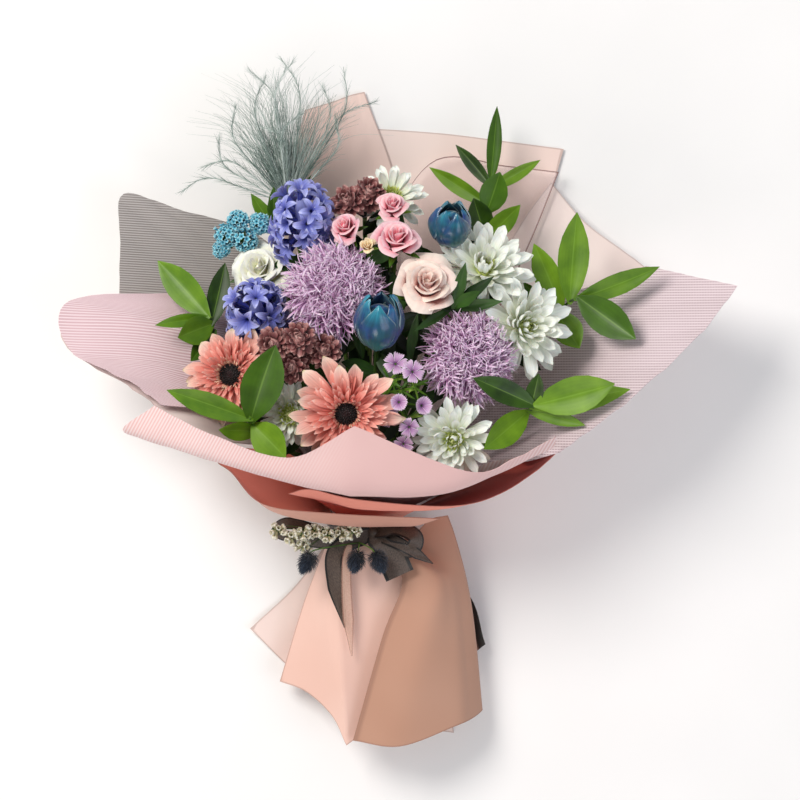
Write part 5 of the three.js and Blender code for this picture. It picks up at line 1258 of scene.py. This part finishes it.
# Spikes and heads of small flowers.
# A small flower: lobes round +Z that may bend back, and a throat that tapers down to its stalk.
def floret(lobes, length, width, bend=0.0, rise=0.1, throat=6.0, mouth=1.6, cols=5, rows=5, fringe=0.0,
           cup=0.15, gather=1.6, outline=None):
    outline = outline or [(0, 0.3), (0.3, 0.75), (0.62, 1), (0.85, 0.72), (1, 0.06)]
    shapes = []
    for k in range(lobes):
        grid = bladeGrid(length, width, outline, curl=bend, gather=gather, cup=cup, wave=0.06, waves=1,
                         phase=k, fringe=fringe, rows=rows, cols=cols)
        spin, tilt = Matrix.Rotation(k * turn / lobes, 4, "Z"), Matrix.Rotation(-rise, 4, "Y")
        place = spin @ Matrix.Translation((mouth * 0.4, 0, 0)) @ tilt
        shapes.append(lens(moved(grid, place), 0.7, 0.5))
    sides = 6
    angles = np.arange(sides) / sides * turn
    rings = [(mouth * 0.9, 0.4), (mouth * 0.8, -throat * 0.4), (mouth * 0.45, -throat)]
    verts = [[r * math.cos(a), r * math.sin(a), z] for r, z in rings for a in angles]
    verts += [[0, 0, -0.6], [0, 0, -throat - 0.3]]
    number = np.arange(3 * sides).reshape(3, sides)
    number = np.concatenate([number, number[:, :1]], 1)
    faces = quads(number)[:, ::-1].tolist()
    tube = {"verts": np.array(verts), "faces": np.array(faces), "uv": np.full((len(verts), 2), 0.02),
            "tone": 0.5}
    return shapes + [tube]


# Small flowers on their own twigs from one branching point.
def headsPiece(name, branch, heads, shapes, finish, size, twigRadius, extra=(), carried=True):
    spots = [h[0] for h in heads]
    directions = [Vector(h[1]).normalized() for h in heads]
    parts = [grown("heads", {"Shapes": shapes, "Material": finishes[finish], "Size": size,
                             "Size spread": 0.12},
                   None, pointsMesh(spots, directions))]
    lines = []
    for spot, direction in zip(spots, directions):
        foot = Vector(spot) - direction * 0.6
        under = Vector(spot) - direction * 9
        lines.append([tuple(p) for p in smoothLine([branch, tuple(under), tuple(foot)], 4)])
    parts.append(stalks(lines, [twigRadius] * len(lines), finishes["stem"]))
    parts += extra
    ready(joined(name, parts), name.rsplit("_", 1)[0])
    if carried:
        carryBranch(branch)


hyacinths = [
    {"name": "hyacinth_upper", "at": (-86, 138, 104), "to": (-0.06, 0.85, 0.62), "spin": 0.0, "length": 64},
    {"name": "hyacinth_lower", "at": (-129, 66, 96), "to": (0, 0.42, 0.85), "spin": 0.5, "length": 60},
]
hyacinthSet = mixedSet("hyacinthFloret", [
    floret(6, 17, 7.6, bend=bend, rise=rise, throat=15, mouth=3.4, rows=9, gather=gather, cup=0.45,
           outline=[(0, 0.45), (0.3, 0.8), (0.55, 1), (0.8, 0.66), (1, 0.04)])
    for bend, rise, gather in [(-2.0, 0.85, 2.0), (-1.3, 1.0, 2.0), (-2.6, 0.95, 2.2), (-1.6, 0.6, 1.5)]
])


def hyacinth(look):
    place = facing(look["at"], look["to"], look["spin"])
    length, radius, size = look["length"], 15, 15
    rings = [6, 7, 8, 7, 5, 1]
    spots, directions = [], []
    for level, count in enumerate(rings):
        share = (level + 0.4) / len(rings)
        for k in range(count):
            azimuth = (k + level * 0.5) * turn / count + 0.12 * chance.standard_normal()
            rise = -0.15 + share ** 2.4 * 1.8 + 0.12 * chance.standard_normal()
            out = (radius * (1 - 0.4 * share) + size * 0.45) * (1.0 if count > 1 else 0.0)
            outward = Vector((math.cos(azimuth) * math.cos(rise), math.sin(azimuth) * math.cos(rise),
                              math.sin(rise)))
            if count == 1:
                outward = Vector((0.1, 0.1, 1))
            spots.append(place @ Vector((out * math.cos(azimuth), out * math.sin(azimuth),
                                         length * share * 1.04)))
            directions.append(place.to_3x3() @ outward)
    florets = grown("heads", {"Shapes": hyacinthSet, "Material": finishes["hyacinth"], "Size": 0.95,
                              "Size spread": 0.14},
                    None, pointsMesh(spots, directions))
    spike = lathe([(0, 0), (radius * 0.45, 2), (radius * 0.5, length * 0.5), (radius * 0.3, length * 0.8),
                   (0, length * 0.92)],
                  finishes["hyacinth"], place)
    ready(joined(look["name"] + "_florets", [florets, spike]), look["name"])
    carry(place, 0)


for label, build, looks in [
        ("gerberas", gerbera, gerberas), ("white chrysanthemums", mum, mums),
        ("lavender chrysanthemums", pompon, pompons), ("tulips", tulip, tulips), ("roses", rose, roses),
        ("hyacinths", hyacinth, hyacinths)]:
    for look in looks:
        build(look)
    print(label, len(looks))

scaleSet = gridSet("bract", [
    bladeGrid(8.4, 5.6, [(0, 0.5), (0.35, 0.9), (0.7, 1), (0.9, 0.7), (1, 0.2)], curl=curl, cup=0.5, rows=6,
              cols=5)
    for curl in (0.6, 0.9, 1.2, 0.3)], 0.9)
brownHeads = {
    "brown_heads_lower": {"branch": (-92, 42, 118), "cones": [
        ((-112, 50, 168), (-0.2, 0.2, 1)), ((-90, 54, 174), (0, 0.3, 1)), ((-68, 43, 162), (0.1, 0.1, 1)),
        ((-96, 30, 162), (-0.1, -0.1, 1))]},
    "brown_heads_back": {"branch": (-32, 166, 100), "cones": [
        ((-47, 178, 120), (-0.2, 0.5, 1)), ((-28, 186, 112), (0.1, 0.5, 1))]},
}
for name, look in brownHeads.items():
    parts, lines = [], []
    for at, to in look["cones"]:
        place = facing(at, to)
        parts.append(grown("dome", {"Shapes": scaleSet, "Material": finishes["brown"], "Count": 78,
                                    "Radius": 8.6,
                                    "Flat": 1.1, "Widest": 2.3, "Lean": -0.3, "Wobble": 0.2, "Size": 0.85,
                                    "Size spread": 0.2}, place))
        parts.append(lathe([(0, -8), (6, -6), (8.5, 0), (6, 6.5), (0, 8.5)], finishes["brown"], place))
        under = place @ Vector((0, 0, -9))
        lines.append(smoothLine([look["branch"], tuple(under), at], 4))
    parts.append(stalks(lines, [1.6] * len(lines), finishes["brown"]))
    ready(joined(name + "_bracts", parts), name)
    carryBranch(look["branch"])
print("brown heads", len(brownHeads))


# One of count directions spread over a dome: depth 1 is its upper half, 2 the whole ball.
def domeDirection(k, count, depth, start=0.0):
    polar, azimuth = math.acos(1 - depth * (k + 0.5) / count), k * golden + start
    return Vector((math.sin(polar) * math.cos(azimuth), math.sin(polar) * math.sin(azimuth), math.cos(polar)))


fan = [(0, 0.16), (0.3, 0.5), (0.65, 0.92), (0.9, 1), (1, 0.82)]
dianthusSet = mixedSet("dianthusFloret", [
    floret(5, 8.6, 8.4, bend=bend, rise=rise, throat=8, mouth=2.0, fringe=1.1, cols=9, rows=7, outline=fan,
           cup=0.1)
    for bend, rise in [(-0.15, 0.1), (-0.7, 0.45), (0.35, 0.2), (0.1, 0.6)]])
needles = [lens(moved(bladeGrid(13 + 5 * chance.random(), 2.6, slimOutline, curl=-0.5, cup=0.3, rows=6,
                                cols=3),
                      facing((x, y, z), (0.5 * chance.standard_normal(), 0.5 * chance.standard_normal(), 1))
                      @ Matrix.Rotation(k * golden, 4, "Z") @ Matrix.Rotation(-0.5, 4, "Y")), 0.6,
                      chance.random())
           for x, y, z in [(-9, 17, 166), (1, 9, 166), (-14, 2, 164), (12, 13, 164), (6, -16, 166),
                           (-2, 22, 164)]
           for k in range(9)]
needlePart = meshObject("needles", needles, finishes["lime"], Matrix())
headsPiece("dianthus_spray_florets", (2, -2, 140), [
    ((-4, 32, 182), (0, 0.4, 1)), ((11, 25, 182), (0.3, 0.2, 1)), ((-1, -2, 188), (0, 0, 1)),
    ((-11, -14, 174), (-0.3, 0, 1)), ((8, -24, 184), (0, -0.3, 1)), ((3, -39, 178), (0, -0.4, 1)),
    ((19, -5, 178), (0.5, 0, 1))], dianthusSet, "dianthus", 1.05, 1.2, [needlePart])

tealSet = mixedSet("tealFloret", [
    floret(5, 2.4, 2.3, rise=rise, throat=2.5, mouth=0.9, cols=3, rows=3) for rise in (0.25, 0.7, 1.1)])
tealHeads = []
for x, y, z, size in [(-147, 163, 89, 8), (-158, 149, 86, 9), (-128, 160, 88, 8), (-141, 146, 90, 10),
                      (-163, 137, 82, 6)]:
    for k in range(44):
        away = domeDirection(k, 44, 1.6)
        out = size * (1 + 0.1 * chance.standard_normal())
        tealHeads.append(((x + out * away.x, y + out * away.y, z + 0.7 * out * away.z), tuple(away)))
headsPiece("teal_filler_florets", (-143, 146, 66), tealHeads, tealSet, "teal", 1.35, 0.4)

budSet = mixedSet("gypsophilaFloret", [
    floret(6, 3.6, 2.6, bend=bend, rise=rise, throat=2.4, mouth=1.6, cols=3, rows=5, cup=0.5, gather=1.2)
    for bend, rise in [(2.2, 0.2), (1.7, 0.5), (2.6, 0.0)]])
posy = []
for x, y, z in [(-112, -117.5, 74), (-99, -123.5, 80), (-88, -119.5, 84), (-77, -118.5, 80),
                (-67, -121.5, 86), (-54, -120.5, 80), (-43, -118.5, 86), (-88, -132.5, 76)]:
    for k in range(6):
        away = domeDirection(k, 6, 1.1, x)
        posy.append(((x + 5.4 * away.x, y + 4.6 * away.y - 1.5, z + 3.4 * away.z), tuple(away)))
headsPiece("gypsophila_florets", (-62, -118.6, 62), posy, budSet, "gypsophila", 1.3, 0.3,
           carried=False)


fuzzSet = gridSet("fuzz", [bladeGrid(long, 0.55, [(0, 1), (0.5, 0.7), (1, 0.1)], curl=0.4, sway=sway, rows=3,
                                     cols=3)
                           for long, sway in [(6, 0.1), (7.5, -0.1), (7, 0.2)]], 0.3)
tails = [((-84, -147, 86), (-0.5, -0.9, 0.3)), ((-40, -146, 86), (-0.2, -0.9, 0.5)),
         ((-20, -146, 95), (0.4, -0.8, 0.4))]
parts, lines = [], []
for at, to in tails:
    place = facing(at, to)
    parts.append(grown("dome", {"Shapes": fuzzSet, "Material": finishes["hareTail"], "Count": 700,
                                "Radius": 4.8,
                                "Flat": 1.75, "Widest": 2.9, "Lean": 0.85, "Wobble": 0.16}, place))
    parts.append(lathe([(0, -8.4), (3.6, -6), (4.9, 0), (3.6, 6), (0, 8.6)], finishes["hareTail"], place, 12))
    lines.append(smoothLine([(-37, -130, 73.8), tuple(place @ Vector((0, 0, -12))), at], 4))
parts.append(stalks(lines, [0.6] * 3, finishes["stem"]))
ready(joined("hare_tails_hairs", parts), "hare_tails")
print("small heads")


# Leaves.
sprays = {
    "leaves_top_right": {"twig": [(70, 130, 64), (78, 150, 64), (80, 176, 58), (83, 200, 52)], "leaves": [
        (0.98, (91, 270, 42), 14, 0.2, 0.2), (0.95, (53, 236, 46), 13, -0.2, 0.2),
        (0.7, (26, 212, 48), 15, -0.2, 0.2),
        (0.93, (130, 218, 48), 13, 0.3, 0.2), (0.62, (93, 208, 70), 26, 0.1, 0.3),
        (0.35, (66, 184, 84), 24, 0.1, 0.3), (0.25, (110, 178, 78), 20, 0.2, 0.3)]},
    "leaves_right_upper": {"twig": [(128, 58, 88), (140, 74, 100), (152, 88, 110), (162, 92, 114)],
                           "leaves": [
        (0.7, (160, 170, 106), 29, 0.15, 0.3), (0.9, (236, 116, 112), 20, 0.1, 0.2),
        (0.98, (212, 54, 132), 31, 0.1, 0.3),
        (0.4, (162, 46, 120), 27, 0, 0.35), (0.5, (122, 142, 110), 25, -0.2, 0.25),
        (0.3, (112, 108, 112), 14, 0, 0.3)]},
    "leaves_right_lower": {"twig": [(108, -22, 124), (112, -14, 138), (116, -8, 150), (122, -4, 156)],
                           "leaves": [
        (0.98, (192, 12, 172), 34, 0.1, 0.3), (0.6, (166, -20, 158), 14, 0.2, 0.2),
        (0.9, (65, 22, 186), 22, 0.1, 0.3),
        (0.5, (75, -46, 191), 26, -0.2, 0.3), (0.8, (206, 8, 156), 24, 0.3, 0.2),
        (0.75, (124, 24, 168), 16, 0, 0.3)]},
    "leaves_left_lower": {"twig": [(-118, -38, 118), (-126, -32, 132), (-130, -24, 148), (-134, -16, 160)],
                          "leaves": [
        (0.95, (-208, 9, 168), 22, -0.15, 0.25), (0.9, (-113, 50, 196), 37, 0.1, 0.3),
        (0.7, (-101, -52, 178), 30, 0.1, 0.35), (0.5, (-162, -27, 172), 18, -0.3, 0.2)]},
    "leaves_left_upper": {"twig": [(-163, 44, 100), (-166, 54, 107), (-169, 64, 112), (-173, 76, 116)],
                          "leaves": [
        (0.98, (-219, 127, 96), 28, -0.1, 0.3), (0.8, (-157, 124, 104), 20, 0.1, 0.3),
        (0.95, (-221, 70, 126), 12, 0, 0.2),
        (0.8, (-200, 56, 138), 26, -0.2, 0.3), (0.6, (-188, 34, 126), 18, -0.2, 0.3)]},
    "leaves_middle": {"twig": [(38, 70, 124), (43, 78, 144), (48, 84, 162)], "slim": True,
                      "finish": "darkLeaf", "leaves": [
        (0.98, (60, 122, 176), 12, 0, 0.3), (0.9, (84, 110, 172), 12, 0.1, 0.3),
        (0.8, (92, 88, 166), 12, 0.2, 0.3),
        (0.95, (72, 96, 182), 12, 0, 0.3), (0.9, (34, 84, 168), 10, 0, 0.3),
        (0.85, (12, 62, 182), 9, 0, 0.3)]},
    "leaves_hyacinth": {"twig": [(-112, 132, 66), (-114, 146, 72), (-114, 158, 78)], "slim": True, "leaves": [
        (0.9, (-136, 188, 80), 15, 0, 0.3), (0.95, (-80, 204, 108), 10, 0, 0.2),
        (0.98, (-116, 194, 84), 13, 0, 0.2)]},
}


leafRows, leafColumns = 15, 9


# A leaf from its base to its tip, its upper face turned up and rolled about its length.
def leafShape(base, tip, width, roll, curl, outline):
    along = (Vector(tip) - Vector(base)).normalized()
    side = Vector((0, 0, 1)).cross(along).normalized()
    over = along.cross(side)
    basis = Matrix((along, side, over)).transposed().to_4x4()
    length = (Vector(tip) - Vector(base)).length + 3
    place = (Matrix.Translation(Vector(base)) @ basis @ Matrix.Rotation(roll, 4, "X")
             @ Matrix.Rotation(curl / 2, 4, "Y"))
    grid = bladeGrid(length, width, outline, curl=curl, wave=0.07, waves=1.2, phase=6 * chance.random(),
                     sway=0.03 * chance.standard_normal(), rows=leafRows, cols=leafColumns)
    fold = np.abs(np.linspace(-1, 1, leafColumns)) ** 1.3 * width / 2 * 0.3
    half = np.interp(np.linspace(0, 1, leafRows), *np.array(outline).T)
    grid[..., 2] += fold[None, :] * half[:, None] + 0.4
    grid[..., 0] -= 3
    return lens(moved(grid, place), 0.9, chance.random())


for name, look in sprays.items():
    line = smoothLine(look["twig"], 8)
    outline = slimOutline if look.get("slim") else leafOutline
    finish = look.get("finish", "leaf")
    shapes = []
    for share, tip, width, roll, curl in look["leaves"]:
        base = line[int(round(share * (len(line) - 1)))]
        shapes.append(leafShape(tuple(base), tip, width, roll, curl, outline))
    leaves = meshObject("leafBlades", shapes, finishes[finish], Matrix())
    twig = stalks([line], [np.linspace(1.5, 1.0, len(line))], finishes["stem"])
    ready(joined(name + "_blades", [leaves, twig]),
          name)
    down = (Vector(line[0]) - Vector(line[1])).normalized()
    stemStarts.append((Vector(line[0]) + down * 0.5, down, 2.2))
print("leafy sprays", len(sprays))


# Feather grass.
grassRoot = Vector((-102, 178, 70))
wisps = [(-140, 304, 64, 1), (-122, 298, 60, -1), (-110, 315, 60, 1), (-96, 313, 70, -1), (-52, 306, 50, 1),
         (-20, 274, 58, -1), (-166, 243, 66, -1), (-182, 212, 70, 1), (-202, 189, 74, 1), (-150, 270, 70, -1),
         (-72, 292, 44, 1), (-128, 250, 78, 1), (-88, 262, 80, -1), (-60, 260, 74, 1)]
lines, radii = [], []
for x, y, z, sway in wisps:
    tip = Vector((x, y, z)) - grassRoot
    side = tip.cross(Vector((0, 0, 1))).normalized()
    bend = [Vector((0, 0, 0)), tip * 0.4 + side * 10 * sway + Vector((0, 0, 8)),
            tip * 0.75 + side * 16 * sway + Vector((0, 0, 9)), tip]
    line = smoothLine([tuple(p + grassRoot) for p in bend], 9)
    lines.append(line)
    radii.append(np.linspace(0.9, 0.16, len(line)))
    for k in range(70):
        share = 0.16 + 0.8 * (k + chance.random()) / 70
        at = share * (len(line) - 1)
        i = min(int(at), len(line) - 2)
        base = line[i] + (line[i + 1] - line[i]) * (at - i)
        along = (line[i + 1] - line[i]) / np.linalg.norm(line[i + 1] - line[i])
        away = chance.standard_normal(3)
        away -= along * away.dot(along)
        away /= np.linalg.norm(away)
        reach = (18 - 9 * share) * (0.6 + 0.8 * chance.random())
        reach = min(reach, np.linalg.norm(line[-1] - base) * 0.9 + 4)
        hair = [base, base + (along * 0.5 + away * 0.16) * reach, base + (along * 0.93 + away * 0.36) * reach]
        lines.append(np.array(hair))
        radii.append([0.22, 0.16, 0.05])
for k in range(520):
    heading = math.radians(62 + 66 * chance.random() ** 0.9)
    reach = 45 + 88 * chance.random() * (1 - 0.4 * abs(heading - 1.75))
    root = grassRoot + Vector((3 * chance.standard_normal(), 5 * chance.random(),
                               3 * chance.standard_normal()))
    ahead = Vector((math.cos(heading), math.sin(heading), 0.05 * chance.standard_normal() - 0.04))
    sideways = Vector((-ahead.y, ahead.x, 0.3)) * chance.normal(0, 0.12)
    points = [root,
              root + ahead * reach * 0.45 + sideways * reach * 0.3 + Vector((0, 0, 5 * chance.random())),
              root + ahead * reach * 0.8 + sideways * reach,
              root + ahead * reach * 0.98 + sideways * reach * 2.2]
    line = smoothLine([tuple(p) for p in points], 4)
    lines.append(line)
    radii.append(np.linspace(0.28, 0.07, len(line)))
grass = stalks(lines, radii, finishes["grass"], 3)
knot = lathe([(0, 65), (4.5, 67), (4.8, 72), (0, 75)], finishes["grass"], Matrix.Translation((-102, 178, 0)),
             12)
ready(joined("feather_grass_hairs", [grass, knot]), "feather_grass")
toTie = (tieMiddle - grassRoot).normalized()
stemStarts.append((grassRoot + toTie * 5.5, toTie, branchRadius))
print("feather grass", len(wisps))


# Stems.
def stemsPiece():
    axis = tie["axis"].normalized()
    lines, radii = [], []
    for point, down, calyx in stemStarts:
        away = point - tieMiddle
        length = away.length
        foot = tieMiddle + (away - axis * away.dot(axis)) * (16 / length) + axis * 30
        neck = point + down * 5
        ends = [neck, point + down * 0.16 * length, foot + away * 0.35, foot]
        share = np.linspace(0, 1, 15)[:, None]
        curve = sum(c * share ** k * (1 - share) ** (3 - k) * np.array(e)
                    for k, (c, e) in enumerate(zip((1, 3, 3, 1), ends)))
        lines.append(np.concatenate([[np.array(point)], curve]))
        slim = min(calyx, 2.2)
        radii.append([calyx, slim] + [stemRadius] * 14)
    for x, z, long in [(-10, 6, 96), (8, 8, 118), (0, -6, 132), (12, -4, 104), (-14, -4, 112)]:
        near = tieMiddle + Vector((x * 0.8, -10, z * 0.8 - 2))
        end = tieMiddle + Vector((x * 1.7, -10 - long, z * 1.2 - 4))
        lines.append(smoothLine([tuple(near), tuple(end)], 6))
        radii.append([stemRadius] * len(lines[-1]))
    parts = [stalks(lines, radii, finishes["stem"], 10)]
    place = facing(tieMiddle - axis * 24, axis)
    parts.append(lathe([(0, 0), (16.5, 0), (19, 24), (21.4, 60), (0, 61)], finishes["stem"], place, 30))
    ready(joined("stems_bunch", parts), "stems")


# Leaves left on the stems below the blooms, and the tulip's two own leaves: dark foliage, painted darker
# still as the shade in the gaps between the blooms.
def stemLeaves():
    shapes = []
    for number, (point, down, calyx) in enumerate(stemStarts):
        if point.z < 95 or calyx < 2.3:
            continue
        for k in range(4):
            base = point.lerp(tieMiddle, 0.05 + 0.05 * k) + Vector((0, 0, -4))
            heading = number * 1.3 + k * 1.9
            reach = 30 + 10 * chance.random()
            tip = base + Vector((math.cos(heading) * reach, math.sin(heading) * reach,
                                 4 + 10 * chance.random()))
            shapes.append(leafShape(tuple(base), tuple(tip), 15 + 3 * chance.random(),
                                    0.3 * chance.standard_normal(), 0.3, leafOutline))
    for base, tip, width in [((8, 32, 146), (13, 78, 176), 10), ((-34, 40, 146), (-39, 74, 172), 12)]:
        shapes.append(leafShape(base, tip, width, 0.2, 0.3, slimOutline))
    for base, tip in [((-51, 44, 114), (-36, 74, 122)), ((-42, 50, 92), (-64, 66, 104)),
                      ((-42, 50, 92), (-30, 24, 100)),
                      ((-12, 57, 108), (12, 70, 120)), ((7, 42, 118), (-16, 62, 128)),
                      ((-12, 57, 108), (4, 32, 116)),
                      ((-18, 48, 84), (-42, 74, 92)), ((7, 42, 116), (26, 62, 126))]:
        shapes.append(leafShape(base, tip, 19, 0.2, 0.3, leafOutline))
    leaves = meshObject("stem_leaves", shapes, finishes["darkLeaf"], Matrix())
    ready(leaves, "stems")


stemsPiece()
stemLeaves()
print("stems", len(stemStarts))


# Ribbon.
ribbonSteps, ribbonColumns, ribbonThick = 36, 9, 0.3
leastSide = 0.0101


# A strip of ribbon along a line; tilt turns it about its length, ends gathers it at four places.
def stripGrid(line, width, tilt, ends, crinkle=0.5):
    curve = smoothLine(line, max(2, ribbonSteps // (len(line) - 1)))
    along = np.gradient(curve, axis=0)
    along /= np.linalg.norm(along, axis=1, keepdims=True)
    side = np.cross(along, [0, 0, 1])
    side /= np.linalg.norm(side, axis=1, keepdims=True)
    over = np.cross(side, along)
    aim = side * math.cos(tilt) + over * math.sin(tilt)
    normal = np.cross(along, aim)
    share = np.linspace(-0.5, 0.5, ribbonColumns)
    t = np.linspace(0, 1, len(curve))
    gather = np.interp(t, [0, 0.12, 0.75, 1], ends)
    grid = curve[:, None] + aim[:, None] * (share[None, :, None] * width * gather[:, None, None])
    wave = np.sin(t[:, None] * 11 + share[None, :] * 5) * crinkle * np.minimum(1, 4 * t)[:, None]
    grid += normal[:, None] * wave[..., None]
    edge = np.tile(np.abs(share) * 2, (len(curve), 1))
    return grid, edge


def ribbonPiece(name, grid, edge, finish, node):
    piece = meshObject(name, [slab(grid, ribbonThick, edge)], finishes[finish], Matrix(), "sheetUv")
    ready(piece, node)
    width, length, area = flatSize(grid)
    width, length = max(width, leastSide), max(length, leastSide)
    print("ribbon", name, round(width, 4), round(length, 4))


bandSides, bandRows, bandHalf, bandLayer = 73, 7, 7, 1.09
angles = np.linspace(0, turn, bandSides)
heights = np.linspace(-bandHalf, bandHalf, bandRows)
band = np.stack([
    tie["x"] + tie["halfWidth"] * bandLayer * np.cos(angles)[None, :] + 0 * heights[:, None],
    tie["y"] - 14 + 3.5 + heights[:, None] * 0.52 + 0 * angles[None, :],
    tie["z"] + tie["halfDepth"] * bandLayer * np.sin(angles)[None, :] + 0 * heights[:, None]], -1)
hoopEdge = np.tile(np.abs(np.linspace(-1, 1, bandRows))[:, None], (1, bandSides))
ribbonPiece("ribbon_band", band, hoopEdge, "organza", "ribbon")
knot = lathe([(0, -6), (4.4, -4.4), (6, 0), (4.4, 4.4), (0, 6)], finishes["organza"],
             Matrix.Translation((-24, -121, 66.5)) @ Matrix.Rotation(0.5, 4, "X"), 16)
ready(knot, "ribbon")
knot.name = "ribbon_knot"
strips = [
    ("ribbon_loop", [(-22, -121, 69), (-4, -116, 84), (14, -124, 90), (10, -136, 86), (-8, -134, 78),
                     (-20, -125, 70)],
     19, 0.75, (0.6, 1, 1, 0.6)),
    ("ribbon_tail_long", [(-26, -122, 68), (-46, -130, 71), (-60, -142, 71), (-58, -172, 69),
                          (-50, -208, 69)], 16, 0.0,
     (0.7, 1, 1, 0.12)),
    ("ribbon_loop_left", [(-34, -123, 66), (-62, -131, 60), (-92, -128, 55), (-112, -121, 57),
                          (-104, -113, 61), (-82, -117, 57), (-58, -124, 56)], 12, 0.5, (0.6, 1, 1, 0.6)),
    ("ribbon_tail_right", [(-24, -121, 69), (-12, -134, 77), (0, -160, 79)], 26, 0.0, (0.6, 0.9, 1.05, 1.05)),
    ("ribbon_tail_thin", [(-22, -121, 69), (2, -132, 86), (30, -149, 82)], 14, 0.0, (0.8, 1, 0.7, 0.06)),
]
for name, line, width, tilt, ends in strips:
    grid, edge = stripGrid(line, width, tilt, ends)
    ribbonPiece(name, grid, edge, "organza", "ribbon")
grid, edge = stripGrid([(-46, -132, 72.8), (-49, -150, 72.4), (-48, -190, 71.2), (-44, -234, 70)], 10.2, 0.0,
                       (0.5, 0.75, 1, 0.1), crinkle=0.3)
ribbonPiece("sheer_tail_ribbon", grid, edge, "sheer", "sheer_tail")
print("ribbon")

for collection in setAside:
    for piece in list(collection.objects):
        bpy.data.objects.remove(piece)
    bpy.data.collections.remove(collection)

# Floor, light and camera.
view = {"height": 4.0, "lens": 193.75, "key": 57.0, "fill": 14.0, "front": 12.0, "sky": 0.46, "floor": 2.0}
floorMaterial, floorTree, floorShader = newMaterial("pale_table", {"Roughness": 0.85})
grain = noise(floorTree, addNode(floorTree, "ShaderNodeTexCoord", out=3), 5.0, 2.0)
floorTree.links.new(colourRamp(floorTree, grain, [(0.3, "#F4F3F2"), (0.7, "#F9F8F7")]),
                    floorShader.inputs["Base Color"])
floorMesh = bpy.data.meshes.new("floor")
half = view["floor"]
floorMesh.from_pydata([(-half, -half, 0), (half, -half, 0), (half, half, 0), (-half, half, 0)], [],
                      [(0, 1, 2, 3)])
floorMesh.materials.append(floorMaterial)
floor = bpy.data.objects.new("floor", floorMesh)
scene.collection.objects.link(floor)


def areaLight(name, place, target, size, power, colour):
    data = bpy.data.lights.new(name, "AREA")
    data.shape = "DISK"
    data.size = size
    data.energy = power
    data.color = linear(colour)[:3]
    light = bpy.data.objects.new(name, data)
    scene.collection.objects.link(light)
    light.location = place
    light.rotation_euler = (Vector(target) - Vector(place)).to_track_quat("-Z", "Y").to_euler()


areaLight("key", (-1.3, 1.2, 2.2), (0, 0, 0.1), 1.3, view["key"], "#FFFAF4")
areaLight("fill", (1.6, -0.9, 1.9), (0, 0, 0.1), 1.6, view["fill"], "#EEF3FF")
areaLight("front", (-0.7, -1.8, 1.5), (0, -0.1, 0.05), 1.2, view["front"], "#FFF6EE")
world = bpy.data.worlds.new("studio")
world.use_nodes = True
world.node_tree.nodes["Background"].inputs["Color"].default_value = linear("#E9ECF0")
world.node_tree.nodes["Background"].inputs["Strength"].default_value = view["sky"]
scene.world = world
scene.view_settings.view_transform = "Standard"

cameraData = bpy.data.cameras.new("camera")
cameraData.sensor_width = 36
cameraData.lens = view["lens"]
camera = bpy.data.objects.new("camera", cameraData)
camera.location = (planShift.x * mm, planShift.y * mm, view["height"])
scene.collection.objects.link(camera)
scene.camera = camera
